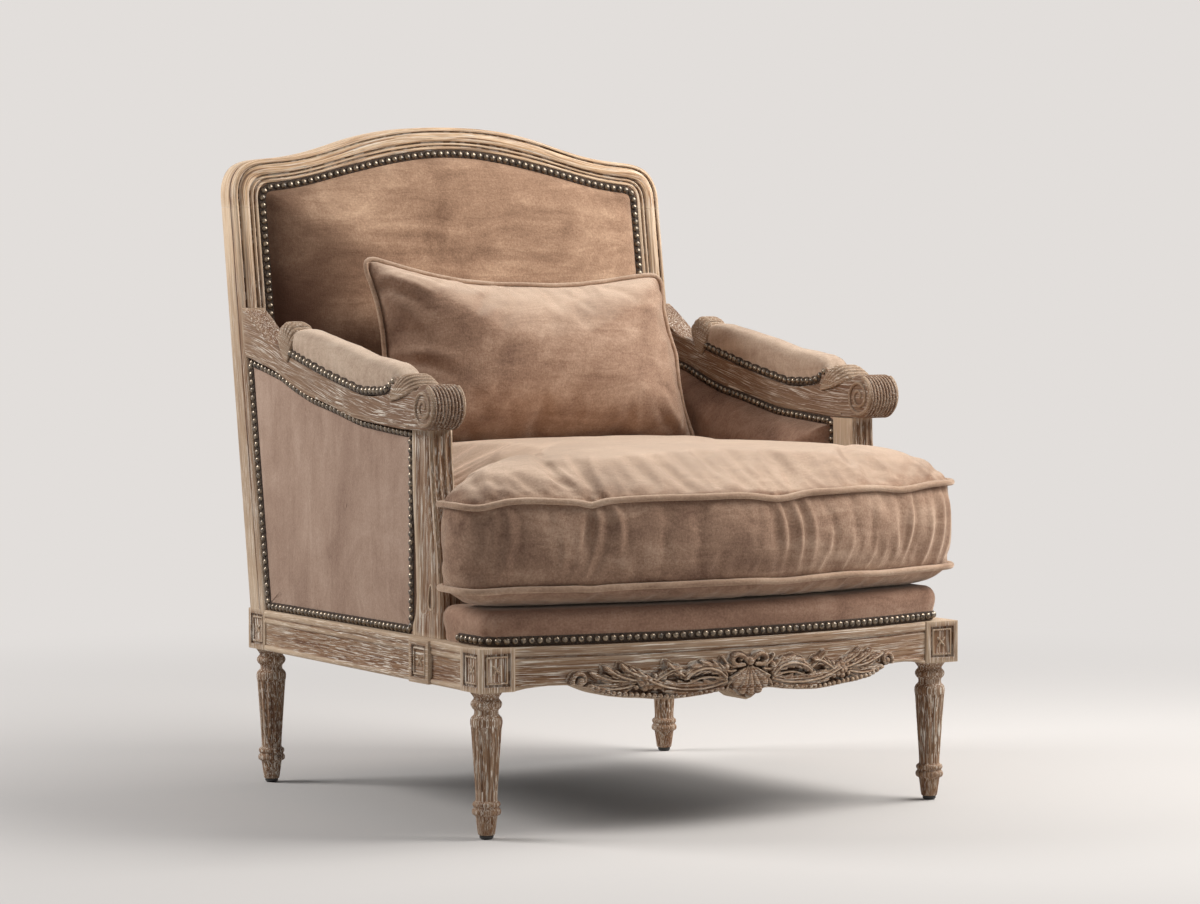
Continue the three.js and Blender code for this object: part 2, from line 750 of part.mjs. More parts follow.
// Inside back: a domed panel in the back frame. The outline is given as x and z.
const backBottom = deckTop + gap;
const frameSteps = 4;

function frameOpening(bottom, clearance) {
  const stile = Array.from({ length: frameSteps }, (_, i) => mix(bottom, stileTop, i / frameSteps));
  const inner = stileInner - clearance;
  const up = stile.map((z) => new THREE.Vector2(-inner, z));
  const down = [...stile].reverse().map((z) => new THREE.Vector2(inner, z));
  const over = crest.map((pair, i) => {
    const p = pair.inner;
    const towards = new THREE.Vector2(0, bottom).sub(p).normalize();
    const end = i === 0 || i === crest.length - 1;
    return end ? new THREE.Vector2(Math.sign(p.x) * inner, p.y) : p.clone().addScaledVector(towards, clearance * 2);
  });
  return [...up, ...over, ...down];
}

// Rows are the share of the outline that a ring keeps and how far it has risen to the crown.
const backCrownShares = [[0.92, 0.3], [0.82, 0.62], [0.66, 0.85], [0.4, 0.97], [0.12, 1]];

function insideBack() {
  const outline = frameOpening(backBottom, gap);
  const level = (flat, depth) => flat.map((p) => point(p.x, stileFront(p.y) + depth, p.y));
  const centre = new THREE.Vector2(0, mix(backBottom, crestTop, 0.5));
  const rim = inset(outline, rimWidth);
  return skin([
    level(outline, backPadDepth),
    level(outline, mouldDepth),
    level(rim, mouldDepth),
    ...backCrownShares.map(([keep, up]) =>
      level(shrink(outline, centre, keep), mix(mouldDepth, -backBulge, up))),
  ]);
}
addPiece('inside_back', insideBack(), velvet);

function insideBackNails() {
  const path = inset(frameOpening(backBottom, gap), nailInset - gap);
  const places = path.map((p) => point(p.x, stileFront(p.y) + mouldDepth, p.y));
  return nailStrip(places, point(0, -1, backLean).normalize());
}
addPiece('inside_back_nails', insideBackNails(), brass);

// Outside back: a shallow panel that closes the frame from behind.
const outerBackCrown = 4;
const outerBackBottom = railTop + gap;

function outsideBack() {
  const outline = frameOpening(outerBackBottom, gap);
  const level = (flat, depth) => flat.map((p) => point(p.x, stileFront(p.y) + depth, p.y));
  const centre = new THREE.Vector2(0, mix(outerBackBottom, crestTop, 0.5));
  const face = stileDepth - nailHeight;
  return skin([
    level(outline, stileDepth - outerBackDepth),
    level(outline, face),
    level(inset(outline, rimWidth), face),
    level(shrink(outline, centre, 0.8), face + outerBackCrown * 0.8),
    level(shrink(outline, centre, 0.3), face + outerBackCrown),
  ]);
}
addPiece('outside_back', outsideBack(), velvet);

function outsideBackNails() {
  const path = inset(frameOpening(outerBackBottom, gap), nailInset);
  const places = path.map((p) => point(p.x, stileFront(p.y) + stileDepth - nailHeight, p.y));
  return nailStrip(places, point(0, 1, -backLean).normalize(), true);
}
addPiece('outside_back_nails', outsideBackNails(), brass);

// A hidden cross rail behind the inside back carries its webbing and ties the stiles together.
const crossRailLow = 12;
const crossRailHeight = 50;

function lowerBackRail() {
  const low = deckTop + crossRailLow;
  const high = low + crossRailHeight;
  const near = backPadDepth + gap;
  const far = stileDepth - outerBackDepth - gap;
  const level = (x) => [
    point(x, stileFront(low) + near, low), point(x, stileFront(low) + far, low),
    point(x, stileFront(high) + far, high), point(x, stileFront(high) + near, high),
  ];
  return skin([level(-stileInner + gap), level(stileInner - gap)]);
}
addPiece('lower_back_rail', lowerBackRail(), plainWood);

// The opening under an arm, as y and z: from the post to the stile, from a floor to the arm rail.
function armOpening(floor, clearance, back) {
  const front = postFront + postWidth + clearance * 2;
  const lowBack = stileFront(floor) - back;
  const highBack = stileFront(armEndZ) - back;
  const knots = armLowShares.slice(1, -1).map(([share]) => armPlace(share, 0).x);
  const top = [front, ...knots.filter((y) => y > front && y < highBack), highBack];
  const last = top.length - 1;
  return [
    ...top.map((y) => new THREE.Vector2(y, armLow(y) - clearance * 2)),
    ...top.map((_, i) => new THREE.Vector2(mix(lowBack, front, i / last), floor)),
  ];
}

function insideArm(side) {
  const outline = armOpening(deckTop + gap, gap, backBulge / 2 + gap);
  const level = (flat, x) => flat.map((p) => point(side * x, p.x, p.y));
  const centre = new THREE.Vector2(mix(scrollY, armEnd, 0.35), mix(deckTop, scrollZ, 0.55));
  const reach = postInner - innerArmBulge;
  return skin([
    level(outline, postInner + innerArmDepth),
    level(outline, postInner + mouldDepth),
    level(inset(outline, rimWidth), postInner + mouldDepth),
    level(shrink(outline, centre, 0.86), mix(postInner, reach, 0.62)),
    level(shrink(outline, centre, 0.66), mix(postInner, reach, 0.92)),
    level(shrink(outline, centre, 0.25), reach),
  ]);
}

function insideArmNails(side) {
  const outline = inset(armOpening(deckTop + gap, gap, backBulge / 2 + gap), nailInset);
  const top = outline.slice(0, outline.length / 2);
  const path = [outline[outline.length - 1], ...top].map((p) => point(side * (postInner + mouldDepth), p.x, p.y));
  return nailStrip(path, point(-side, 0, 0));
}

function outsideArm(side) {
  const outline = armOpening(postFoot, gap, gap * 2);
  const level = (flat, sink) => flat.map((p) => point(side * (postOuter - sink), p.x, p.y));
  const centre = new THREE.Vector2(mix(scrollY, armEnd, 0.45), mix(railTop, scrollZ, 0.5));
  const sink = sidePanelReveal;
  return skin([
    level(outline, sink + outerArmDepth),
    level(outline, sink),
    level(inset(outline, rimWidth), sink),
    level(shrink(outline, centre, 0.8), sink / 2),
    level(shrink(outline, centre, 0.4), 0),
  ]);
}

function outsideArmNails(side) {
  const outline = inset(armOpening(postFoot, gap, gap * 2), nailInset);
  const path = outline.map((p) => point(side * (postOuter - sidePanelReveal), p.x, p.y));
  return nailStrip(path, point(side, 0, 0), true);
}

for (const [label, side] of sides) {
  addPiece(`${label}_inside_arm`, insideArm(side), velvet);
  addPiece(`${label}_inside_arm_nails`, insideArmNails(side), brass);
  addPiece(`${label}_outside_arm`, outsideArm(side), velvet);
  addPiece(`${label}_outside_arm_nails`, outsideArmNails(side), brass);
}

// Webbing under the deck: three straps from side to side, four over them from front to back.
const strapWidth = 50;
const strapThickness = 1.8;
const strapHold = 14;
const strapLow = railTop + gap;
const strapHigh = strapLow + strapThickness + gap;
const crossStrapShares = [0.345, 0.575, 0.805];
const longStrapShares = [-0.66, -0.22, 0.22, 0.66];

crossStrapShares.forEach((share, i) => {
  const y = mix(sideStart, sideEnd, share);
  const reach = sideOuter(y) - sideRailThickness + strapHold;
  const strap = boxBetween(
    -reach, reach, y - strapWidth / 2, y + strapWidth / 2, strapLow, strapLow + strapThickness);
  addPiece(`cross_webbing_${i + 1}`, strap, jute);
});
longStrapShares.forEach((share, i) => {
  const x = share * backSpan;
  const start = frontFace(x) + frontRailThickness - strapHold;
  const finish = backRailFace - backRailThickness + strapHold;
  const strap = boxBetween(
    x - strapWidth / 2, x + strapWidth / 2, start, finish, strapHigh, strapHigh + strapThickness);
  addPiece(`long_webbing_${i + 1}`, strap, jute);
});

// The deck: a padded platform that fills the seat, wider in front of the arm posts.
const deckReveal = 7;
const deckRound = 34;
const deckFrontSteps = 16;
const deckPostGap = 3;

function deckOutline() {
  const postClear = postFront + postShares[0][1] * postWidth - deckPostGap;
  const postBack = postFront + postWidth + deckPostGap;
  const straight = deckEarHalf - deckRound;
  const front = Array.from({ length: deckFrontSteps + 1 }, (_, i) => {
    const x = mix(-straight, straight, i / deckFrontSteps);
    return new THREE.Vector2(x, frontFace(x) + deckReveal);
  });
  const corner = frontFace(straight) + deckReveal;
  const round = [0.35, 0.7, 1].map((share) => {
    const angle = (share * Math.PI) / 2;
    return new THREE.Vector2(
      straight + deckRound * Math.sin(angle), corner + deckRound * (1 - Math.cos(angle)));
  });
  const wallEnd = sideEnd - deckPostGap;
  const right = [
    ...round,
    new THREE.Vector2(deckEarHalf, postClear - deckRound / 2),
    new THREE.Vector2(deckEarHalf - deckRound / 2, postClear),
    new THREE.Vector2(deckNeckHalf, postClear),
    new THREE.Vector2(deckNeckHalf, postBack),
    new THREE.Vector2(deckBackHalf, postBack),
    new THREE.Vector2(deckBackHalf, wallEnd),
    new THREE.Vector2(stileInner - deckPostGap, wallEnd),
    new THREE.Vector2(stileInner - deckPostGap, backRailFace - backRailThickness + backPadDepth),
  ];
  const left = right.map((p) => new THREE.Vector2(-p.x, p.y)).reverse();
  return [...front, ...right, ...left];
}

// Rows are the height of a level and how far its edge is drawn in, as shares of the rounded edge.
const deckEdge = 15;
const deckLevelShares = [
  [0, 0.17], [0.1, 0], [0.42, 0], [0.62, -0.13], [0.8, -0.07], [0.94, 0.33], [1, 1],
];

function seatDeck() {
  const outline = deckOutline();
  const pad = skin(deckLevelShares.map(([up, drawn]) =>
    inset(outline, drawn * deckEdge).map((p) => point(p.x, p.y, mix(railTop + gap, deckTop, up)))));
  const pocketFront = frontFace(0) + frontRailThickness - strapHold - deckPostGap;
  const pocket = boxBetween(
    -deckEarHalf, deckEarHalf, pocketFront, legDepth, railTop - lap, strapHigh + strapThickness + gap);
  return cut(pad, pocket);
}
addPiece('seat_deck', seatDeck(), velvet);

// The nails start and end on the ears, a few points of the outline beyond the front.
const deckEndSteps = 3;
const deckNailLift = 2.7;

function deckNails() {
  const outline = deckOutline();
  const first = outline.length - deckEndSteps;
  const count = deckFrontSteps + 1 + deckEndSteps * 2;
  const path = [];
  const out = [];
  for (let i = 0; i < count; i += 1) {
    const here = (first + i) % outline.length;
    const p = outline[here];
    const moved = inset(outline, -gap)[here];
    path.push(point(moved.x, moved.y, railTop + nailBand / 2 + deckNailLift));
    out.push(point(moved.x - p.x, moved.y - p.y, 0).normalize());
  }
  return nailStrip(path, out);
}
addPiece('deck_nails', deckNails(), brass);

// Dust cover, stapled to the underside of the rails.
const coverThickness = 1.5;
const coverLap = 10;
const coverInset = 8;
addPiece(
  'dust_cover',
  boxBetween(
    -backSpan - coverLap, backSpan + coverLap, sideStart + coverInset, sideEnd - coverInset,
    railBottom - gap - coverThickness, railBottom - gap),
  cambric,
);

// The loose seat cushion. Its outline runs over half the plan, from the middle of the front to the back.
// Rows hold the half width and the depth as shares, for the ears in front and for the body behind.
const earShares = [
  [0, 0], [0.15, 0.012], [0.3, 0.045], [0.45, 0.1], [0.6, 0.175], [0.75, 0.265], [0.87, 0.345],
  [0.94, 0.405], [0.98, 0.475], [0.998, 0.57], [1, 0.72], [0.997, 0.87], [0.975, 0.965], [0.92, 1],
  [0.83, 1.005],
];
const bodyShares = [
  [1.06, 0], [1.01, 0.025], [1, 0.09], [1, 0.28], [1, 0.48], [1, 0.68], [0.995, 0.85], [0.975, 0.94],
  [0.915, 0.985], [0.8, 1], [0.53, 1], [0.26, 1], [0, 1],
];

function cushionOutline() {
  const right = [
    ...earShares.map(([w, d]) => new THREE.Vector2(w * cushionHalf, mix(-cushionFront, cushionEarBack, d))),
    ...bodyShares.map(([w, d]) =>
      new THREE.Vector2(w * cushionBodyHalf, mix(cushionEarBack, cushionBack, d))),
  ];
  const left = right.slice(1, -1).map((p) => new THREE.Vector2(-p.x, p.y)).reverse();
  return [...right, ...left];
}

// Where the front of the cushion pinches between its folds, as shares of its half width.
const pinchShares = [-0.42, 0.08, 0.55];
const pinchWidthShare = 0.07;

function pinchAt(p) {
  if (p.y > cushionEarBack) return 0;
  return Math.max(...pinchShares.map((share) => {
    const off = (p.x / cushionHalf - share) / pinchWidthShare;
    return Math.exp(-off * off);
  }));
}

const cushionFloor = deckTop + gap;
const lowerRim = cushionFloor + cushionSag;
const upperRim = cushionFloor + cushionThickness;
const boxing = upperRim - lowerRim;
const crownTop = upperRim + cushionCrown;
const cushionCentre = new THREE.Vector2(0, mix(-cushionFront, cushionBack, 0.48));

// Draws the cushion's outline in: by a plain inset near the rim, and towards the middle beyond it.
function drawIn(outline, distance) {
  const near = Math.min(distance, weltRadius * 2);
  const keep = 1 - (distance - near) / cushionBodyHalf;
  return shrink(inset(outline, near), cushionCentre, keep);
}

function cushionLevel(outline, distance, z, pinched, dropped) {
  return drawIn(outline, distance).map((p, i) => {
    const pinch = pinchAt(outline[i]) * pinched * cushionPinch;
    const drop = rise(p.y, cushionBack * 0.4, cushionBack) * dropped * cushionRearDrop;
    return point(p.x, p.y + pinch * 0.4, z - pinch - drop);
  });
}

function seatCushion() {
  const outline = cushionOutline();
  const fuller = weltRadius * 1.3;
  const ring = (distance, z, pinched, dropped) => cushionLevel(outline, distance, z, pinched, dropped);
  const crownRing = (keep, up) => {
    return shrink(drawIn(outline, cushionCrown / 2), cushionCentre, keep).map((p) => {
      const drop = rise(p.y, cushionBack * 0.4, cushionBack) * cushionRearDrop;
      return point(p.x, p.y, mix(upperRim, crownTop, up) - drop);
    });
  };
  return skin([
    ring(cushionSag * 2, cushionFloor, 0, 0),
    ring(cushionSag, mix(cushionFloor, lowerRim, 0.12), 0, 0),
    ring(cushionSag * 0.4, mix(cushionFloor, lowerRim, 0.5), 0, 0),
    ring(0, lowerRim, 0.3, 0),
    ring(lap, lowerRim + boxing * 0.09, 0.4, 0),
    ring(-fuller * 0.7, lowerRim + boxing * 0.28, 0.4, 0),
    ring(-fuller, lowerRim + boxing * 0.52, 0.5, 0.2),
    ring(-fuller * 0.6, lowerRim + boxing * 0.76, 0.8, 0.3),
    ring(lap, upperRim - boxing * 0.08, 1, 0.5),
    ring(0, upperRim, 1, 0.5),
    ring(cushionCrown * 0.22, mix(upperRim, crownTop, 0.22), 0.6, 0.6),
    crownRing(1, 0.5),
    crownRing(0.86, 0.74),
    crownRing(0.62, 0.93),
    crownRing(0.3, 1),
  ]);
}

const cushion = new THREE.Group();
chair.add(cushion);
addPiece('seat_cushion', seatCushion(), velvet, cushion);

function cushionWelt(z, pinched, dropped) {
  const outline = cushionOutline();
  const edge = cushionLevel(outline, 0, z, pinched, dropped);
  const centres = cushionLevel(outline, -weltRadius - gap, z, pinched, dropped);
  const places = centres.map((at, i) => {
    const across = at.clone().sub(edge[i]).setZ(0).normalize();
    return { at, across, up: point(0, 0, 1) };
  });
  return loopTube(places, weltRadius, tubeSides);
}
addPiece('cushion_top_welt', cushionWelt(upperRim, 1, 0.5), velvet, cushion);
addPiece('cushion_bottom_welt', cushionWelt(lowerRim, 0.3, 0), velvet, cushion);

// The lumbar pillow, made lying in its own X-Z plane and then leaned on the back.
// Rows follow a quarter of its seam, as shares of the half length and half height.
const seamShares = [
  [0, 0.93], [0.2, 0.93], [0.42, 0.935], [0.63, 0.95], [0.82, 0.975], [0.94, 0.995], [1, 1],
  [0.985, 0.86], [0.96, 0.6], [0.95, 0.3],
];
// Rows are the share of the seam's outline that a ring keeps, and of the depth to the crown.
const pillowCrownShares = [[0.97, 0.16], [0.88, 0.44], [0.72, 0.72], [0.5, 0.91], [0.22, 1]];

// How far down the cushion's crown the pillow stands.
const pillowSinkShare = 0.5;

// The upper right corner of the pillow has slumped inwards and down.
function droop(p) {
  const share = Math.max(p.x / (pillowLength / 2), 0) * Math.max(p.y / (pillowHeight / 2), 0);
  return new THREE.Vector2(p.x - share * pillowCornerIn, p.y - share * pillowCornerDown);
}

function pillowSeam() {
  const quarter = seamShares.map(([x, z]) => new THREE.Vector2((x * pillowLength) / 2, (z * pillowHeight) / 2));
  const half = [...quarter, new THREE.Vector2(quarter[quarter.length - 1].x, 0)];
  const lower = half.slice(1, -1).reverse().map((p) => new THREE.Vector2(p.x, -p.y));
  const right = [...half, ...lower];
  const rightWithFoot = [...right, new THREE.Vector2(0, -quarter[0].y)];
  const left = rightWithFoot.slice(1, -1).reverse().map((p) => new THREE.Vector2(-p.x, p.y));
  return [...rightWithFoot, ...left].map(droop);
}

const pillow = new THREE.Group();
pillow.position.set(
  pillowCentreX, pillowCentreY,
  mix(crownTop, upperRim, pillowSinkShare) + pillowHeight / 2 + pillowRaise,
);
pillow.rotation.set(
  THREE.MathUtils.degToRad(-pillowLeanDegrees),
  THREE.MathUtils.degToRad(pillowRollDegrees),
  THREE.MathUtils.degToRad(-pillowYawDegrees));
cushion.add(pillow);

function lumbarPillow() {
  const seam = pillowSeam();
  const level = (keep, out) =>
    shrink(seam, new THREE.Vector2(0, 0), keep).map((p) => point(p.x, out, p.y));
  const front = pillowCrownShares.map(([keep, out]) => level(keep, -out * pillowFrontDepth)).reverse();
  const back = pillowCrownShares.map(([keep, out]) => level(keep, out * pillowRearDepth));
  return skin([...front, level(1, 0), ...back]);
}
addPiece('lumbar_pillow', lumbarPillow(), velvet, pillow);

function pillowPiping() {
  const seam = pillowSeam();
  const outer = inset(seam, -pipingRadius - gap);
  const places = outer.map((p, i) => ({
    at: point(p.x, 0, p.y),
    across: point(p.x - seam[i].x, 0, p.y - seam[i].y).normalize(),
    up: point(0, 1, 0),
  }));
  return loopTube(places, pipingRadius, tubeSides);
}
addPiece('pillow_piping', pillowPiping(), velvet, pillow);

// The chair stands on Z = 0 with the middle of its box over the origin.
const group = new THREE.Group();
group.add(chair);
group.updateMatrixWorld(true);
const bounds = new THREE.Box3().setFromObject(chair, true);
chair.position.y = -(bounds.min.y + bounds.max.y) / 2;
chair.position.x = -(bounds.min.x + bounds.max.x) / 2;

export default group;
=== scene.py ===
"""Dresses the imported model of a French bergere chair: limewashed oak, velvet, brass nails and soft goods.

Lengths in the classes are millimetres in the maker's frame, whose Y is 0 on the line through the front
leg axes. The function spot turns such a place into metres in the model's own frame.
"""
import logging
from dataclasses import dataclass, field
from enum import Enum
from functools import cached_property
from math import atan2, copysign, cos, exp, pi, radians, sin, tau
from typing import Callable, Optional, Sequence

import bmesh
import bpy
import numpy as np
from mathutils import Matrix, Vector, noise


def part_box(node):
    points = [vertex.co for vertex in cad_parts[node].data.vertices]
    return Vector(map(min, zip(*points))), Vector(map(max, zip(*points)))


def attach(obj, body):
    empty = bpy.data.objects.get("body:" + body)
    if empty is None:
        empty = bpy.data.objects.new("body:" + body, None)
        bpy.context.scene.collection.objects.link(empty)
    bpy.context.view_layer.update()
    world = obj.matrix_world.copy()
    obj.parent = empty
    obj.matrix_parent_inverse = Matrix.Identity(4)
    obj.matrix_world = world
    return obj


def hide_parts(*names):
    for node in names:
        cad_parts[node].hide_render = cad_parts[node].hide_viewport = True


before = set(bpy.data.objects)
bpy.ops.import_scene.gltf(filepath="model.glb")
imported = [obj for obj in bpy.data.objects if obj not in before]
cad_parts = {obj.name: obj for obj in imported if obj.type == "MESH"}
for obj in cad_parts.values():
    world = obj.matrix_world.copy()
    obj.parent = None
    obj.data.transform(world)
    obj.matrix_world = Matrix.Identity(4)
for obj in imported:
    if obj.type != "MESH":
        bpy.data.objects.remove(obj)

Piece = bpy.types.Object
Socket = bpy.types.NodeSocket
Line = Sequence[Vector]
Pairs = Sequence[tuple[float, float]]
LOG = logging.getLogger("bergere")
MM = 0.001
FRONT_LEG_Y = sum(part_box("front_left_glide")[i].y for i in (0, 1)) / 2
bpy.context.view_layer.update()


def spot(x: float, y: float, z: float) -> Vector:
    """Turns a place in the maker's frame, in millimetres, into metres in the model's frame."""
    return Vector((x * MM, y * MM + FRONT_LEG_Y, z * MM))


def blend_rows(rows: Sequence[Sequence[float]], share: float) -> list[float]:
    """Reads a table of rows at one share.

    Args:
        rows: Rows whose first number is the place and whose other numbers are values.
        share: The place to read.

    Returns:
        The values there, straight between the rows on both sides.
    """
    row = 1
    while row < len(rows) - 1 and rows[row][0] < share:
        row += 1
    low, high = rows[row - 1], rows[row]
    t = min(max((share - low[0]) / (high[0] - low[0]), 0.0), 1.0)
    return [a + (b - a) * t for a, b in zip(low[1:], high[1:])]


def smooth_path(points: Line, steps: int, closed: bool = False) -> list[Vector]:
    """Runs a smooth curve through points.

    Args:
        points: The points that the curve passes.
        steps: How many pieces each span is cut into.
        closed: Whether the curve comes back to its start.

    Returns:
        The points of the finer curve.
    """
    count = len(points)
    spans = count if closed else count - 1
    fine: list[Vector] = []
    for i in range(spans):
        a, b, c, d = (
            points[(i + k) % count] if closed else points[min(max(i + k, 0), count - 1)]
            for k in (-1, 0, 1, 2)
        )
        for s in range(steps):
            t = s / steps
            fine.append(
                0.5 * ((2 * b) + (c - a) * t + (2 * a - 5 * b + 4 * c - d) * t * t
                       + (3 * b - a - 3 * c + d) * t ** 3))
    if not closed:
        fine.append(points[-1].copy())
    return fine


def even_path(points: Line, pitch: float, closed: bool = False) -> list[Vector]:
    """Walks a path in even steps.

    Args:
        points: The path.
        pitch: The wanted step. It is eased so that a whole number fits.
        closed: Whether the path comes back to its start.

    Returns:
        The places of the steps.
    """
    line = list(points) + ([points[0]] if closed else [])
    lengths = [0.0]
    for a, b in zip(line, line[1:]):
        lengths.append(lengths[-1] + (b - a).length)
    count = max(int(round(lengths[-1] / pitch)), 1)
    places: list[Vector] = []
    k = 0
    for i in range(count + (0 if closed else 1)):
        target = lengths[-1] * i / count
        while k < len(line) - 2 and lengths[k + 1] < target:
            k += 1
        part = max(lengths[k + 1] - lengths[k], 1e-9)
        places.append(line[k].lerp(line[k + 1], min((target - lengths[k]) / part, 1.0)))
    return places


def rounded(place: Vector) -> tuple[float, ...]:
    """A place in metres, rounded so that it can be looked up."""
    return tuple(round(c, 6) for c in place)


def stand(place: Vector, facing: Vector) -> Matrix:
    """The matrix that sets a form at a place, with its +Z turned to a direction."""
    return Matrix.Translation(place) @ facing.to_track_quat("Z", "Y").to_matrix().to_4x4()


class Bench:
    """The workbench: starts, shapes and finishes one piece at a time with Blender's own operators."""

    @staticmethod
    def clear() -> None:
        """Leaves edit mode and deselects everything."""
        if bpy.context.object and bpy.context.object.mode != "OBJECT":
            bpy.ops.object.mode_set(mode="OBJECT")
        bpy.ops.object.select_all(action="DESELECT")

    @staticmethod
    def pick(piece: Piece) -> None:
        """Makes one piece the only selected and active one."""
        Bench.clear()
        piece.select_set(True)
        bpy.context.view_layer.objects.active = piece

    @staticmethod
    def take(name: str) -> Piece:
        """Names the piece that an operator has just added and returns it."""
        piece = bpy.context.object
        piece.name = name
        piece.data.name = name
        return piece

    @staticmethod
    def settle() -> None:
        """Applies the place, turn and scale of a piece to its mesh."""
        bpy.ops.object.transform_apply(location=True, rotation=True, scale=True)

    @staticmethod
    def edit() -> None:
        """Goes into edit mode with everything selected."""
        bpy.ops.object.mode_set(mode="EDIT")
        bpy.ops.mesh.select_all(action="SELECT")

    @staticmethod
    def close() -> None:
        """Turns all faces outwards and leaves edit mode."""
        bpy.ops.mesh.select_all(action="SELECT")
        bpy.ops.mesh.normals_make_consistent(inside=False)
        bpy.ops.object.mode_set(mode="OBJECT")

    @staticmethod
    def halve(height: float = 0.0) -> None:
        """Cuts away what lies under a height, in edit mode."""
        bpy.ops.mesh.bisect(plane_co=(0, 0, height), plane_no=(0, 0, 1), use_fill=True, clear_inner=True)

    @staticmethod
    def at_rim(edge: bmesh.types.BMEdge) -> bool:
        """Whether an edge has a face on one side only."""
        return len(edge.link_faces) == 1

    @staticmethod
    def choose(piece: Piece, mode: str, test: Callable) -> None:
        """Selects in edit mode the faces, edges or vertices that pass a test.

        Args:
            piece: The piece, in edit mode.
            mode: FACE, EDGE or VERT.
            test: Takes one element and says whether it is selected.
        """
        bpy.ops.mesh.select_mode(type=mode)
        bpy.ops.mesh.select_all(action="DESELECT")
        mesh = bmesh.from_edit_mesh(piece.data)
        for element in {"FACE": mesh.faces, "EDGE": mesh.edges, "VERT": mesh.verts}[mode]:
            if test(element):
                element.select_set(True)
        mesh.select_flush_mode()
        bmesh.update_edit_mesh(piece.data)

    @staticmethod
    def loft(name: str, rings: Sequence[Line], caps: bool = True,
             looped: bool = False) -> Piece:
        """Draws the first ring and extrudes it from station to station.

        Args:
            name: The piece's name.
            rings: Rings of equally many points, in metres.
            caps: Whether the two ends are filled.
            looped: Whether the last ring is joined to the first.

        Returns:
            The piece, with its faces outwards.
        """
        Bench.clear()
        count = len(rings[0])
        bpy.ops.mesh.primitive_circle_add(vertices=count, radius=1.0)
        piece = Bench.take(name)
        bpy.ops.object.mode_set(mode="EDIT")
        bpy.ops.mesh.select_mode(type="VERT")
        mesh = bmesh.from_edit_mesh(piece.data)
        mesh.verts.ensure_lookup_table()
        for vert, place in zip(mesh.verts, rings[0]):
            vert.co = place
        for last, ring in zip(rings, rings[1:]):
            bpy.ops.mesh.extrude_edges_move()
            mesh = bmesh.from_edit_mesh(piece.data)
            order = {rounded(p): i for i, p in enumerate(last)}
            for vert in mesh.verts:
                if vert.select:
                    vert.co = ring[order[rounded(vert.co)]]
        if looped:
            first = {rounded(p) for p in rings[0]}
            final = {rounded(p) for p in rings[-1]}
            ends = first | final
            Bench.choose(piece, "EDGE", lambda e: Bench.at_rim(e) and all(
                rounded(v.co) in ends for v in e.verts))
            bpy.ops.mesh.bridge_edge_loops()
        elif caps:
            Bench.choose(piece, "EDGE", Bench.at_rim)
            bpy.ops.mesh.edge_face_add()
            Bench.choose(piece, "EDGE", Bench.at_rim)
            if any(e.select for e in bmesh.from_edit_mesh(piece.data).edges):
                bpy.ops.mesh.fill()
        Bench.close()
        return piece

    @staticmethod
    def block(name: str, low: Vector, high: Vector) -> Piece:
        """Adds a plain block between two corners, to be shaped further."""
        Bench.clear()
        bpy.ops.mesh.primitive_cube_add(size=1.0, location=(low + high) / 2)
        piece = Bench.take(name)
        piece.scale = high - low
        Bench.settle()
        return piece

    @staticmethod
    def turn(name: str, profile: Pairs, centre: Vector,
             steps: int) -> Piece:
        """Turns a profile on the lathe about an upright axis.

        Args:
            name: The piece's name.
            profile: Radius and height pairs in metres, from the foot up.
            centre: A point on the axis.
            steps: How many faces go round.

        Returns:
            The turned piece, closed at both ends.
        """
        Bench.clear()
        bpy.ops.mesh.primitive_circle_add(vertices=3, radius=1.0)
        piece = Bench.take(name)
        Bench.edit()
        bpy.ops.mesh.delete(type="VERT")
        mesh = bmesh.from_edit_mesh(piece.data)
        row = [mesh.verts.new((centre.x + r, centre.y, z)) for r, z in profile]
        for a, b in zip(row, row[1:]):
            mesh.edges.new((a, b))
        bmesh.update_edit_mesh(piece.data)
        bpy.ops.mesh.select_all(action="SELECT")
        bpy.ops.mesh.spin(steps=steps, angle=tau, center=(centre.x, centre.y, 0.0), axis=(0, 0, 1))
        bpy.ops.mesh.select_all(action="SELECT")
        bpy.ops.mesh.remove_doubles(threshold=1e-6)
        Bench.choose(piece, "EDGE", Bench.at_rim)
        bpy.ops.mesh.fill_holes(sides=0)
        Bench.close()
        return piece

    @staticmethod
    def modify(piece: Piece, kind: str, **values) -> None:
        """Adds one modifier, sets its values and applies it."""
        Bench.pick(piece)
        modifier = piece.modifiers.new(kind.title(), kind)
        for key, value in values.items():
            setattr(modifier, key, value)
        bpy.ops.object.modifier_apply(modifier=modifier.name)

    @staticmethod
    def soften(piece: Piece, width: float, segments: int = 2, angle: float = 32.0) -> None:
        """Rounds the sharp edges of a piece by a width in metres."""
        Bench.modify(piece, "BEVEL", width=width, segments=segments, limit_method="ANGLE",
                     angle_limit=radians(angle), use_clamp_overlap=True)

    @staticmethod
    def divide(piece: Piece, levels: int) -> None:
        """Applies a subdivision surface."""
        Bench.modify(piece, "SUBSURF", levels=levels, render_levels=levels)

    @staticmethod
    def join(name: str, pieces: Sequence[Piece]) -> Piece:
        """Joins pieces into one that carries a name."""
        Bench.clear()
        for piece in pieces:
            piece.select_set(True)
        bpy.context.view_layer.objects.active = pieces[0]
        if len(pieces) > 1:
            bpy.ops.object.join()
        return Bench.take(name)

    @staticmethod
    def shade(piece: Piece, angle: float = 40.0) -> None:
        """Shades a piece smooth, with edges sharper than an angle kept."""
        Bench.pick(piece)
        bpy.ops.object.shade_smooth_by_angle(angle=radians(angle))

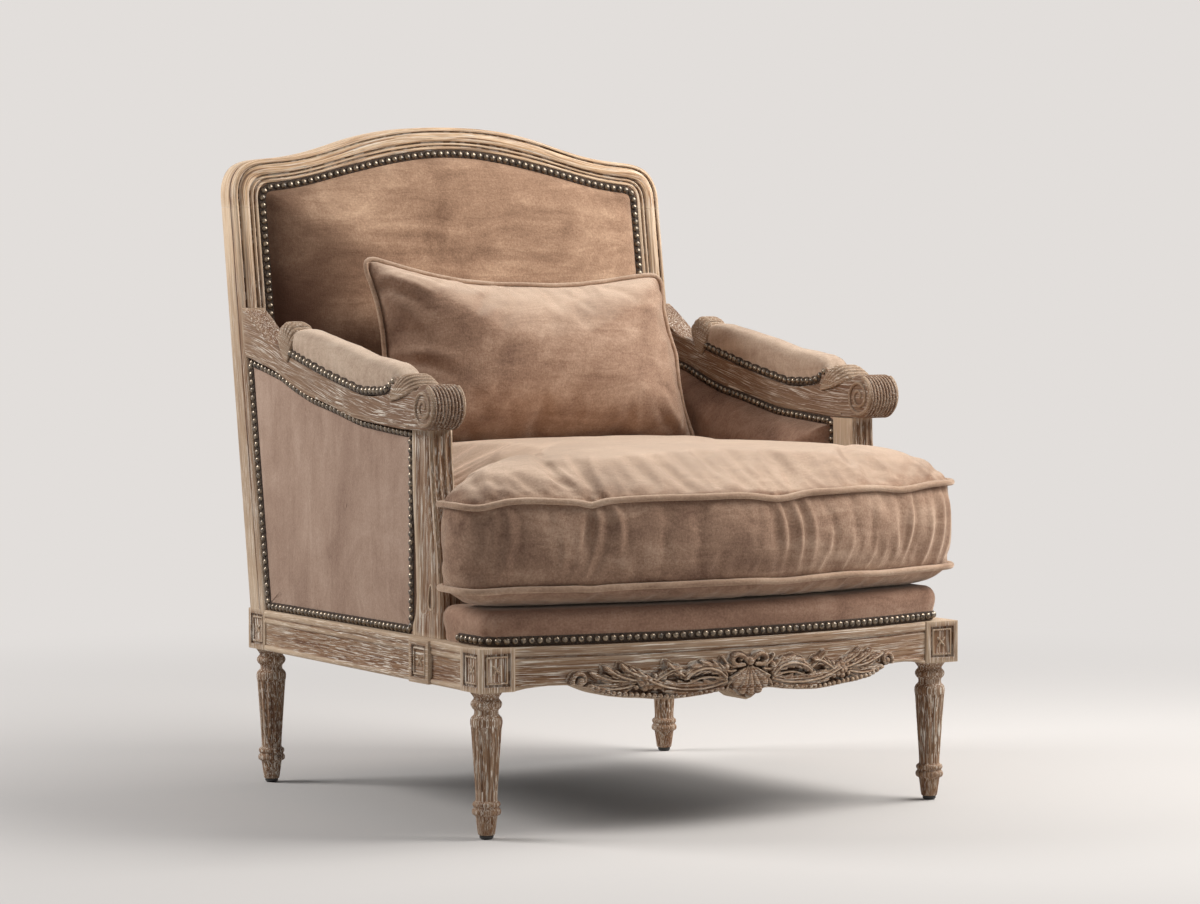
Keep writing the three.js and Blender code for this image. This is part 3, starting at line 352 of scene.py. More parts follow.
    @staticmethod
    def finish(piece: Piece, material: bpy.types.Material, slot: str, body: str,
               stands_for: Sequence[str] = (), angle: float = 40.0) -> None:
        """Shades and paints a piece, and ties it to the model.

        Args:
            piece: The piece.
            material: Its material.
            slot: The record's material slot; not used.
            body: The body that it rides on.
            stands_for: The CAD nodes that it replaces.
            angle: Edges sharper than this stay sharp, in degrees.
        """
        Bench.shade(piece, angle)
        piece.data.materials.clear()
        piece.data.materials.append(material)
        if stands_for:
            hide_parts(*stands_for)
        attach(piece, body)
        Bench.clear()
        LOG.info("%s: %d faces", piece.name, len(piece.data.polygons))


class Grain:
    """Lays the wood's grain along a piece, as a vector attribute that the oak material reads."""

    NAME = "grain"
    # The second attribute holds how far a point lies down in a carved hollow; the oak paints such points
    # darker, as dark wax and painted shade.
    HOLLOW_SHADE = "cut"
    ALONG = 0.022

    @staticmethod
    def lay(piece: Piece, axis: "Axis", flow: Optional[Callable[[Vector], Vector]] = None) -> None:
        """Writes the attribute.

        Args:
            piece: The piece.
            axis: The way that the grain runs.
            flow: Takes a place in metres and returns it unbent. A straight piece needs none.
        """
        layer = piece.data.attributes.new(Grain.NAME, "FLOAT_VECTOR", "POINT")
        for vertex, value in zip(piece.data.vertices, layer.data):
            place = flow(vertex.co) if flow else vertex.co.copy()
            place[axis.value] *= Grain.ALONG
            value.vector = place


Colour = tuple[float, float, float]


class Axis(Enum):
    """The way that a pattern runs."""

    X = 0
    Y = 1
    Z = 2


def plain(red: int, green: int, blue: int) -> Colour:
    """Turns an 8-bit screen colour into the linear values that a shader takes."""
    return tuple((c / 255 / 12.92) if c / 255 <= 0.04045 else ((c / 255 + 0.055) / 1.055) ** 2.4
                 for c in (red, green, blue))


class Nodes:
    """A node tree under work: adds nodes, sets them and wires them."""

    def __init__(self, tree: bpy.types.NodeTree) -> None:
        """Takes the tree."""
        self.tree = tree

    def add(self, kind: str, wires: Optional[dict] = None, **values) -> bpy.types.Node:
        """Adds one node.

        Args:
            kind: The node's type.
            wires: Input name or number to a socket or a value.
            values: The node's own settings.

        Returns:
            The node.
        """
        node = self.tree.nodes.new(kind)
        for key, value in values.items():
            setattr(node, key, value)
        for key, value in (wires or {}).items():
            if isinstance(value, Socket):
                self.tree.links.new(value, node.inputs[key])
            else:
                node.inputs[key].default_value = value
        return node

    def step(self, kind: str, first, second) -> Socket:
        """Joins two values by one step of arithmetic."""
        return self.add("ShaderNodeMath", {0: first, 1: second}, operation=kind).outputs["Value"]

    def times(self, first, second) -> Socket:
        """Multiplies two values."""
        return self.step("MULTIPLY", first, second)

    def plus(self, first, second) -> Socket:
        """Adds two values."""
        return self.step("ADD", first, second)


class Shader(Nodes):
    """A material under work, with one principled shader."""

    def __init__(self, name: str) -> None:
        """Starts the material."""
        self.material = bpy.data.materials.new(name)
        self.material.use_nodes = True
        super().__init__(self.material.node_tree)
        self.surface = self.tree.nodes["Principled BSDF"]

    def stretched(self, squeeze: Sequence[float]) -> Socket:
        """Object coordinates, scaled by a factor on each axis."""
        source = self.add("ShaderNodeTexCoord")
        mapped = self.add("ShaderNodeMapping", {"Vector": source.outputs["Object"], "Scale": squeeze})
        return mapped.outputs["Vector"]

    def noise(self, vector: Socket, scale: float, detail: float = 4.0,
              rough: float = 0.55, warp: float = 0.0) -> Socket:
        """A noise pattern's value."""
        node = self.add("ShaderNodeTexNoise", {
            "Vector": vector, "Scale": scale, "Detail": detail, "Roughness": rough, "Distortion": warp})
        return node.outputs["Fac"]

    def ramp(self, value: Socket, stops: Sequence[tuple[float, Colour]]) -> Socket:
        """Turns a value into a colour by stops of place and colour."""
        node = self.add("ShaderNodeValToRGB", {"Fac": value})
        band = node.color_ramp
        while len(band.elements) < len(stops):
            band.elements.new(0.5)
        for element, (place, colour) in zip(band.elements, stops):
            element.position = place
            element.color = (*colour, 1.0)
        return node.outputs["Color"]

    def span(self, value: Socket, low: float, high: float, start: float = 0.0,
             end: float = 1.0) -> Socket:
        """Moves a value from one range to another and holds it there."""
        node = self.add("ShaderNodeMapRange", {
            "Value": value, "From Min": low, "From Max": high, "To Min": start, "To Max": end})
        return node.outputs["Result"]

    def mix(self, share, first, second, kind: str = "MIX") -> Socket:
        """Mixes two colours by a share."""
        node = self.add("ShaderNodeMix", data_type="RGBA", blend_type=kind)
        for number, value in ((0, share), (6, first), (7, second)):
            if isinstance(value, Socket):
                self.tree.links.new(value, node.inputs[number])
            else:
                node.inputs[number].default_value = value if number == 0 else (*value, 1.0)
        return node.outputs[2]

    def bump(self, height: Socket, depth: float, strength: float = 1.0) -> None:
        """Wires a height, scaled to a depth in metres, to the surface's normal."""
        node = self.add("ShaderNodeBump", {"Height": height, "Distance": depth, "Strength": strength})
        self.wire(node.outputs["Normal"], "Normal")

    def wire(self, value: Socket, target: str) -> None:
        """Wires a value to the surface."""
        self.tree.links.new(value, self.surface.inputs[target])

    def set(self, **values) -> None:
        """Sets the surface's own sockets. Names are written with underscores."""
        for key, value in values.items():
            self.surface.inputs[key.replace("_", " ")].default_value = value


@dataclass(frozen=True)
class LimedOak:
    """Oak with white wax left in its open grain, and dark wax and painted shade in its hollows.

    The grain reads the attribute that Grain.lay writes, so that it follows bent and sloping rails. The
    wood is painted darker and browner towards the bottom, as painted shade, so it reads lighter at the top.
    """

    name: str = "limed_oak"
    deep: Colour = plain(74, 49, 33)
    umber: Colour = plain(103, 71, 50)
    base: Colour = plain(168, 130, 97)
    warm: Colour = plain(206, 167, 127)
    pale: Colour = plain(228, 204, 175)
    wax: Colour = plain(232, 222, 208)
    streaks: float = 420.0
    waxed: float = 0.75

    def material(self) -> bpy.types.Material:
        """Builds the material."""
        work = Shader(self.name)
        grain = work.add("ShaderNodeAttribute", attribute_name=Grain.NAME).outputs["Vector"]
        source = work.stretched((1.0, 1.0, 1.0))
        streak = work.noise(grain, self.streaks, 4.0, 0.6, 0.15)
        board = work.noise(grain, self.streaks * 0.16, 3.0, 0.5, 0.2)
        tone = work.plus(work.times(streak, 0.6), work.times(board, 0.42))
        colour = work.ramp(tone, [(0.42, self.umber), (0.465, self.base), (0.515, self.warm),
                                  (0.56, self.pale), (0.63, self.base)])
        # Painted shade: the colour is mixed towards umber lower down the chair, so the wood is darker at the
        # bottom and lighter at the top; low also adds white wax low down.
        height = work.add("ShaderNodeSeparateXYZ", {"Vector": source}).outputs["Z"]
        low = work.span(height, 0.88, 0.62)
        colour = work.mix(work.times(low, 0.72), colour, self.umber)
        patches = work.span(work.noise(source, 12.0, 3.0, 0.6), 0.36, 0.62)
        pores = work.noise(grain, self.streaks * 1.7, 4.0, 0.62, 0.3)
        share = work.plus(patches, work.times(low, 0.3))
        wax = work.times(work.span(pores, 0.54, 0.6), work.plus(share, 0.15))
        colour = work.mix(work.times(wax, self.waxed), colour, self.wax)
        dark = work.span(work.noise(grain, self.streaks * 2.2, 3.0, 0.6, 0.2), 0.36, 0.44, 0.6, 0.0)
        colour = work.mix(dark, colour, self.deep)
        point = work.add("ShaderNodeNewGeometry").outputs["Pointiness"]
        # Dark wax and painted shade: hollows, found by the ambient occlusion node and by the carving's
        # attribute, are mixed towards the deep brown, and some take pale wax.
        open_air = work.add("ShaderNodeAmbientOcclusion", {"Distance": 0.006}, samples=8, only_local=True)
        hollow_shade_and_wax = work.span(open_air.outputs["AO"], 0.8, 0.35, 0.0, 1.0)
        caught = work.span(work.noise(source, 70.0, 2.0, 0.6), 0.5, 0.58)
        cut = work.add("ShaderNodeAttribute", attribute_name=Grain.HOLLOW_SHADE).outputs["Fac"]
        hollow_shade_and_wax = work.step("MAXIMUM", hollow_shade_and_wax, cut)
        colour = work.mix(work.times(hollow_shade_and_wax, 0.85), colour, self.deep)
        colour = work.mix(work.times(work.times(hollow_shade_and_wax, caught), 0.45), colour, self.wax)
        # Wear and painted highlight: sharp edges, found by pointiness, are mixed towards the pale colour.
        colour = work.mix(work.span(point, 0.515, 0.58, 0.0, 0.5), colour, self.pale)
        work.wire(colour, "Base Color")
        rise = work.step("SUBTRACT", streak, work.times(pores, 0.8))
        work.wire(work.span(streak, 0.3, 0.7, 0.84, 0.6), "Roughness")
        work.bump(rise, 0.0008, 0.8)
        work.set(Specular_IOR_Level=0.3)
        return work.material


@dataclass(frozen=True)
class Velvet:
    """Short cotton velvet: dark where it is looked into, pale where its nap is seen from the side."""

    name: str = "velvet"
    shade: Colour = plain(112, 83, 69)
    base: Colour = plain(151, 118, 99)
    light: Colour = plain(181, 149, 128)
    # The next two colours are painted light and painted shade: a paler tone mixed into faces turned upwards
    # and a dark tone mixed into a band at the lower left.
    painted_top_colour: Colour = plain(222, 198, 176)
    painted_shadow: Colour = plain(80, 55, 43)
    patches: float = 5.5
    brush: Axis = Axis.X
    sheen: float = 0.9
    # The next two shares set how much painted top light and painted shade are mixed in.
    painted_top_light: float = 0.0
    turned: float = 0.0

    def material(self) -> bpy.types.Material:
        """Builds the material."""
        work = Shader(self.name)
        source = work.stretched((1.0, 1.0, 1.0))
        squeeze = [1.0, 1.0, 1.0]
        squeeze[self.brush.value] = 0.22
        swept = work.stretched(squeeze)
        cloud = work.noise(source, self.patches, 5.0, 0.62, 1.2)
        stroke = work.noise(swept, 34.0, 5.0, 0.68, 0.8)
        fine = work.noise(source, 300.0, 4.0, 0.75)
        tone = work.plus(work.times(cloud, 0.4), work.plus(work.times(stroke, 0.3), work.times(fine, 0.3)))
        colour = work.ramp(tone, [(0.37, self.shade), (0.5, self.base), (0.63, self.light)])
        # Painted shade: darker towards the lower left in the piece's own frame, a diagonal band of painted
        # shadow.
        if self.turned:
            place = work.add("ShaderNodeSeparateXYZ", {"Vector": source}).outputs
            slant = work.plus(place["X"], work.times(place["Z"], 0.5))
            slant = work.plus(slant, work.times(cloud, 0.12))
            colour = work.mix(work.span(slant, 0.3, 0.1, 0.0, self.turned), colour, self.painted_shadow)
        # Painted light: faces turned upwards are mixed towards a paler colour, as if lit from above.
        if self.painted_top_light:
            facing = work.add("ShaderNodeSeparateXYZ", {
                "Vector": work.add("ShaderNodeNewGeometry").outputs["Normal"]}).outputs["Z"]
            colour = work.mix(work.span(facing, 0.45, 0.97, 0.0, self.painted_top_light), colour, self.painted_top_colour)
        work.wire(colour, "Base Color")
        threads = work.noise(work.stretched((1.0, 1.0, 0.22)), 520.0, 3.0, 0.7)
        weft = work.noise(work.stretched((0.22, 1.0, 1.0)), 520.0, 3.0, 0.7)
        pile = work.noise(source, 1300.0, 2.0, 0.7)
        height = work.plus(work.plus(work.times(threads, 0.5), work.times(weft, 0.4)),
                           work.plus(work.times(pile, 0.3), work.times(stroke, 1.3)))
        work.bump(height, 0.0016, 0.6)
        work.set(Roughness=0.95, Specular_IOR_Level=0.08, Sheen_Weight=self.sheen, Sheen_Roughness=0.35,
                 Sheen_Tint=(*plain(250, 226, 204), 1.0))
        return work.material


@dataclass(frozen=True)
class Speckled:
    """A plain finish with a fine speckle, for metal, raw wood, webbing, cloth and moulded plastic."""

    name: str
    base: Colour
    dark: Colour
    grain: Axis = Axis.X
    stretch: float = 1.0
    scale: float = 300.0
    rough: float = 0.6
    metal: float = 0.0
    depth: float = 0.0002
    lacquer: float = 0.0

    def material(self) -> bpy.types.Material:
        """Builds the material."""
        work = Shader(self.name)
        squeeze = [1.0, 1.0, 1.0]
        squeeze[self.grain.value] = self.stretch
        speckle = work.noise(work.stretched(squeeze), self.scale, 4.0, 0.6, 0.4)
        work.wire(work.ramp(speckle, [(0.36, self.dark), (0.6, self.base)]), "Base Color")
        work.wire(work.span(speckle, 0.3, 0.7, self.rough + 0.12, self.rough - 0.1), "Roughness")
        work.bump(speckle, self.depth, 0.6)
        work.set(Metallic=self.metal, Coat_Weight=self.lacquer, Coat_Roughness=0.14)
        return work.material


class Finishes:
    """Every finish on the chair, made once."""

    def __init__(self) -> None:
        """Builds the materials."""
        self.oak = LimedOak().material()
        # A darker copy of the oak for the arm rails: painted shade on the arms.
        self.shaded_arm_oak = LimedOak("limed_oak_arms_shaded", base=plain(127, 96, 73), warm=plain(150, 118, 91),
                                pale=plain(182, 157, 131), streaks=500.0).material()
        self.velvet = Velvet().material()
        # Lighter copies of the plain velvet, painted light: the back, the cushion, the pillow, the welts,
        # the pads and the sides each get a paler tone where the lamps light them more, the welts' paleness
        # is a painted sheen, and the back and the pillow also take the band of painted shade.
        self.back_velvet = Velvet("velvet_back", shade=plain(122, 93, 74), base=plain(164, 131, 107),
                                  light=plain(204, 170, 142), turned=1.0).material()
        self.cushion_velvet = Velvet("velvet_cushions", shade=plain(114, 87, 73), base=plain(155, 125, 105),
                                     light=plain(190, 161, 139), sheen=1.0, painted_top_light=0.5).material()
        self.pillow_velvet = Velvet("velvet_pillow", shade=plain(122, 94, 79), base=plain(163, 132, 111),
                                    light=plain(198, 168, 146), sheen=1.0, painted_top_light=0.5, turned=0.5).material()
        self.welt_velvet = Velvet("velvet_welts", shade=plain(138, 110, 91), base=plain(172, 143, 121),
                                  light=plain(200, 174, 152), sheen=1.0, painted_top_light=0.25).material()
        self.pad_velvet = Velvet("velvet_pads", shade=plain(158, 133, 115), base=plain(188, 165, 145),
                                 light=plain(211, 191, 171), brush=Axis.Y, sheen=1.0).material()
        self.side_velvet = Velvet("velvet_sides", shade=plain(140, 113, 98), base=plain(165, 138, 121),
                                  light=plain(184, 158, 141), brush=Axis.Z, patches=6.0,
                                  sheen=0.6).material()
        self.brass = Speckled("antique_brass", plain(134, 118, 98), plain(44, 35, 27), scale=210.0,
                              rough=0.3, metal=0.85, lacquer=0.7).material()
        # A dark strip under the nails: painted shade in the gaps between the heads.
        self.shade_strip = Speckled("painted_gap_shade", plain(74, 58, 46), plain(36, 28, 22), scale=520.0, rough=0.9,
                              depth=0.0008).material()
        self.raw_wood = Speckled("raw_wood", plain(178, 146, 112), plain(122, 92, 65), stretch=0.05,
                                 scale=180.0, rough=0.75).material()
        self.steel = Speckled("zinc_steel", plain(150, 150, 148), plain(96, 96, 94), metal=0.9).material()
        self.jute = Speckled("jute_webbing", plain(170, 142, 100), plain(112, 88, 58), scale=600.0,
                             rough=0.9, depth=0.0006).material()
        self.cambric = Speckled("black_cambric", plain(52, 48, 45), plain(30, 28, 27), scale=900.0,
                                rough=0.9).material()
        self.nylon = Speckled("dark_nylon", plain(46, 44, 42), plain(32, 30, 29), scale=500.0,
                              rough=0.5).material()


@dataclass(frozen=True)
class Plan:
    """The chair's shared sizes and lines, in millimetres in the maker's frame."""

    half_front: float = 366.0
    half_back: float = 344.0
    leg_depth: float = 663.0
    rail_bottom: float = 198.0
    rail_top: float = 257.0
    block_width: float = 55.0
    block_depth: float = 52.0
    front_block_y: float = -4.0
    back_block_y: float = 656.0
    stile_foot: float = 630.0
    stile_outer: float = 371.5
    stile_inner: float = 331.0
    lean: float = 0.15
    stile_top: float = 845.0
    crest_rise: float = 122.0
    scroll_y: float = 135.0
    scroll_z: float = 570.5
    scroll_radius: float = 31.5
    arm_rise: float = 126.5
    arm_inner: float = 337.0
    post_inner: float = 333.5
    post_outer: float = 369.0
    deck_top: float = 306.0
    rim: float = 12.8
    gap: float = 0.3
    bow: float = 50.0
    bow_end: float = -27.5
    bow_half: float = 338.5
    arm_width: float = 47.5
    arm_taper: float = 11.0

    def side_outer(self, y: float) -> float:
        """The outer face of the side rails."""
        drawn = (self.half_back - self.half_front) * y / self.leg_depth
        return self.half_front + drawn + self.block_width / 2

    def front_face(self, x: float) -> float:
        """The bowed face of the front rail."""
        return self.bow_end - self.bow * (1 - (x / self.bow_half) ** 2)

    def stile_front(self, z: float) -> float:
        """The front plane of the leaning back frame."""
        return self.stile_foot + (z - self.rail_top) * self.lean

    @property
    def arm_span(self) -> float:
        """The length of an arm from the scroll's centre to the stile."""
        return self.stile_front(self.scroll_z + self.arm_rise) - self.scroll_y

    def arm_outer(self, y: float) -> float:
        """The outer face of an arm rail."""
        return self.arm_inner + self.arm_width - self.arm_taper * (y - self.scroll_y) / self.arm_span

    def arm_across(self, y: float) -> tuple[float, float]:
        """Half the width of an arm, and its middle."""
        return (self.arm_outer(y) - self.arm_inner) / 2, (self.arm_outer(y) + self.arm_inner) / 2

    def arm_low(self, y: float) -> float:
        """The lower edge of an arm rail."""
        return self.scroll_z + self.arm_rise * blend_rows(ARM_LOW, (y - self.scroll_y) / self.arm_span)[0]

    def arm_seat(self, y: float) -> float:
        """The wood under an arm pad."""
        return self.scroll_z + self.arm_rise * blend_rows(ARM_SEAT, (y - self.scroll_y) / self.arm_span)[0]


ARM_LOW = [(0.105, -0.249), (0.12, -0.249), (0.207, -0.225), (0.37, -0.17), (0.522, -0.036), (0.625, 0.04),
           (0.713, 0.146), (0.802, 0.28), (0.91, 0.38), (1.0, 0.44)]
ARM_SEAT = [(0.175, 0.13), (0.225, 0.1), (0.326, 0.09), (0.515, 0.25), (0.69, 0.43), (0.81, 0.58)]
FRONT_CURL = [(0.075, 0.17), (0.125, 0.18), (0.138, 0.27), (0.154, 0.32), (0.168, 0.27)]
BACK_CURL = [(0.838, 0.605), (0.865, 0.655), (0.892, 0.725), (0.92, 0.805), (0.95, 0.89), (0.98, 0.965)]
PLAN = Plan()
SIDES = (("left", -1), ("right", 1))


@dataclass
class Copied:
    """A small form that is modelled once and then copied."""

    model: Optional[Piece] = field(default=None, init=False)

    def duplicate(self, name: str) -> Piece:
        """Copies the model under a new name."""
        Bench.pick(self.model)
        bpy.ops.object.duplicate(linked=False)
        return Bench.take(name)

    def remove(self) -> None:
        """Takes the model off the bench."""
        bpy.data.objects.remove(self.model, do_unlink=True)


@dataclass
class Rosette(Copied):
    """A small four-petal flower for the corner blocks, modelled once and copied."""

    petal: float = 9.0
    width: float = 3.6
    height: float = 2.0
    sunk: float = -0.4 * MM

    def build(self) -> None:
        """Models the flower flat on the XY plane, facing +Z, about the origin."""
        parts: list[Piece] = []
        for turn in range(4):
            Bench.clear()
            bpy.ops.mesh.primitive_uv_sphere_add(segments=10, ring_count=8, radius=1.0)
            petal = Bench.take("petal")
            petal.scale = (self.petal * MM / 2, self.width * MM / 2, self.height * MM)
            petal.location = (self.petal * MM * 0.58, 0.0, 0.0)
            Bench.settle()
            petal.rotation_euler = (0.0, 0.0, radians(45 + turn * 90))
            Bench.settle()
            Bench.edit()
            Bench.halve(self.sunk)
            bpy.ops.object.mode_set(mode="OBJECT")
            parts.append(petal)
        Bench.clear()
        bpy.ops.mesh.primitive_uv_sphere_add(segments=10, ring_count=6, radius=self.width * MM * 0.62)
        boss = Bench.take("boss")
        boss.scale = (1.0, 1.0, 0.9)
        Bench.settle()
        self.model = Bench.join("rosette_model", parts + [boss])

    def copy(self, place: Vector, facing: Vector) -> Piece:
        """Puts one copy on a face.

        Args:
            place: The middle of the face, in metres.
            facing: The way that the face looks.

        Returns:
            The copy, with its own mesh.
        """
        piece = self.duplicate("rosette")
        piece.matrix_world = stand(place, facing)
        Bench.settle()
        return piece


@dataclass
class CornerBlock:
    """A square block with a sunk panel, a raised square in it and a flower on each outer face."""

    border: float = 7.5
    sink: float = 3.2
    ledge: float = 3.4
    rise: float = 2.2
    inner: float = 2.6

    def build(self, name: str, low: Vector, high: Vector, faces: Line,
              rosette: Rosette) -> list[Piece]:
        """Models one block.

        Args:
            name: The block's name.
            low: Its lowest corner, in metres.
            high: Its highest corner, in metres.
            faces: The ways that its panelled faces look.
            rosette: The flower.

        Returns:
            The block and its flowers.
        """
        block = Bench.block(name, low, high)
        Bench.pick(block)
        bpy.ops.object.mode_set(mode="EDIT")
        steps = ((self.border, -self.sink), (self.ledge, self.rise), (self.inner, -self.rise))
        for facing in faces:
            Bench.choose(block, "FACE", lambda f, way=facing: f.normal.dot(way) > 0.9
                         and f.calc_area() > 0.8 * min((high - low).x, (high - low).y) * (high - low).z)
            for inset, depth in steps:
                bpy.ops.mesh.inset(thickness=inset * MM)
                bpy.ops.mesh.extrude_region_shrink_fatten(TRANSFORM_OT_shrink_fatten={"value": depth * MM})
        bpy.ops.object.mode_set(mode="OBJECT")
        Bench.soften(block, 0.9 * MM, 2)
        parts = [block]
        for facing in faces:
            middle = (low + high) / 2
            reach = abs((high - low).dot(facing)) / 2 - self.sink * MM
            parts.append(rosette.copy(middle + facing * reach, facing))
        return parts


@dataclass
class TurnedLeg:
    """A turned leg with twelve flutes between a lower and an upper ring."""

    foot: float = 5.0
    height: float = 193.0
    diameter: float = 44.0
    steps: int = 24
    flute_rim: float = 0.75
    flute_depth: float = 2.3
    flute_low: float = 62.0
    flute_high: float = 150.0
    profile: Pairs = (
        (0, 0.44), (0.004, 0.5), (0.01, 0.53), (0.07, 0.6), (0.132, 0.675), (0.138, 0.69), (0.142, 0.82),
        (0.149, 0.88), (0.165, 0.915), (0.18, 0.88), (0.188, 0.81), (0.192, 0.785), (0.198, 0.785),
        (0.203, 0.83), (0.212, 0.872), (0.224, 0.86), (0.234, 0.8), (0.238, 0.7), (0.246, 0.67),
        (0.27, 0.67), (0.285, 0.675), (0.3, 0.685), (0.45, 0.775), (0.6, 0.865), (0.735, 0.945),
        (0.755, 0.965), (0.775, 0.995), (0.795, 1), (0.815, 0.965), (0.828, 0.86), (0.838, 0.765),
        (0.845, 0.74), (0.866, 0.74), (0.874, 0.775), (0.882, 0.87), (0.897, 0.95), (0.913, 0.98),
        (0.929, 0.93), (0.94, 0.83), (0.947, 0.775), (0.957, 0.775), (0.965, 0.83), (0.985, 0.96),
        (1, 1.06))

    def build(self, name: str, x: float, y: float) -> Piece:
        """Turns one leg and cuts its flutes.

        Args:
            name: The leg's name.
            x: Its axis, in the maker's frame.
            y: Its axis, in the maker's frame.

        Returns:
            The leg.
        """
        axis = spot(x, y, 0)
        rows = [(0.0, self.foot * MM)]
        rows += [(w * self.diameter / 2 * MM, (self.foot + h * self.height) * MM) for h, w in self.profile]
        rows += [(0.0, (self.foot + self.height) * MM)]
        leg = Bench.turn(name, rows, axis, self.steps)
        Bench.pick(leg)
        bpy.ops.object.mode_set(mode="EDIT")

        def fluted(face: bmesh.types.BMFace) -> bool:
            """Every second strip of the shaft."""
            middle = face.calc_center_median()
            turn = atan2(middle.y - axis.y, middle.x - axis.x) / tau * self.steps
            return (turn // 1 % 2 == 0 and len(face.verts) == 4
                    and self.flute_low * MM < middle.z < self.flute_high * MM)

        Bench.choose(leg, "FACE", fluted)
        bpy.ops.mesh.inset(thickness=self.flute_rim * MM)
        bpy.ops.transform.shrink_fatten(value=-self.flute_depth * MM)
        bpy.ops.object.mode_set(mode="OBJECT")
        Bench.divide(leg, 2)
        return leg


@dataclass
class FrameMoulding:
    """The moulding that runs up the stiles and over the crest.

    Rows are the share from the outer edge to the inner edge, and the depth behind the front plane.
    """

    rows: Pairs = (
        (0, 17), (0.022, 16.2), (0.022, 14.4), (0, 13.4), (0, 7), (0.012, 4.4), (0.045, 2),
        (0.09, 1), (0.135, 1.3), (0.17, 2.8), (0.185, 4.4), (0.205, 4.6), (0.222, 2.8), (0.27, 1),
        (0.36, 0.2), (0.46, 0), (0.55, 0.5), (0.605, 1.8), (0.635, 4.6), (0.66, 5.6), (0.685, 4.8),
        (0.705, 2.6), (0.745, 1.5), (0.785, 2.2), (0.808, 4.6), (0.83, 5.2), (0.85, 3.6), (0.89, 2.2),
        (0.94, 2.2), (0.98, 3.2), (1, 5.4), (1, 45), (0.96, 47), (0.05, 47), (0, 45))
    crest: Sequence[tuple[float, float, float, float]] = (
        (1, 0, 0.891, 0), (1, 0.14, 0.891, 0.105), (0.994, 0.27, 0.888, 0.17), (0.978, 0.385, 0.882, 0.215),
        (0.955, 0.47, 0.872, 0.25), (0.922, 0.53, 0.86, 0.275), (0.875, 0.568, 0.84, 0.292),
        (0.808, 0.59, 0.787, 0.31), (0.727, 0.615, 0.71, 0.345), (0.633, 0.668, 0.62, 0.405),
        (0.538, 0.745, 0.528, 0.475), (0.444, 0.832, 0.436, 0.54), (0.35, 0.902, 0.342, 0.602),
        (0.242, 0.959, 0.237, 0.662), (0.121, 0.992, 0.118, 0.71), (0, 1, 0, 0.725))

    def ring(self, outer: tuple[float, float], inner: tuple[float, float]) -> list[Vector]:
        """One section between an outer and an inner edge point, both as x and z."""
        points = []
        for u, deep in self.rows:
            x = outer[0] + (inner[0] - outer[0]) * u
            z = outer[1] + (inner[1] - outer[1]) * u
            points.append(spot(x, PLAN.stile_front(z) + deep, z))
        return points

    def crest_lines(self) -> tuple[list[Vector], list[Vector]]:
        """The outer and the inner edge of the crest from left to right, as x, 0, z in millimetres."""
        reach = PLAN.stile_inner / PLAN.stile_outer / self.crest[0][2]
        outer = [Vector((-a * PLAN.stile_outer, 0, PLAN.stile_top + b * PLAN.crest_rise))
                 for a, b, _, _ in self.crest]
        inner = [Vector((-c * reach * PLAN.stile_outer, 0, PLAN.stile_top + d * PLAN.crest_rise))
                 for _, _, c, d in self.crest]
        mirror = [[Vector((-p.x, 0, p.z)) for p in reversed(line[:-1])] for line in (outer, inner)]
        return smooth_path(outer + mirror[0], 3), smooth_path(inner + mirror[1], 3)

    def build_crest(self) -> Piece:
        """Models the crest rail."""
        outer, inner = self.crest_lines()
        rings = [self.ring((a.x, a.z), (b.x, b.z)) for a, b in zip(outer, inner)]
        return Bench.loft("crest_moulding", rings)

    def build_stile(self, name: str, side: int) -> Piece:
        """Models the length of one stile above its block."""
        levels = [PLAN.rail_top - 1.0, 330.0, 430.0, 540.0, 640.0, 740.0, PLAN.stile_top - 0.3]
        return Bench.loft(name, [
            self.ring((side * PLAN.stile_outer, z), (side * PLAN.stile_inner, z)) for z in levels])


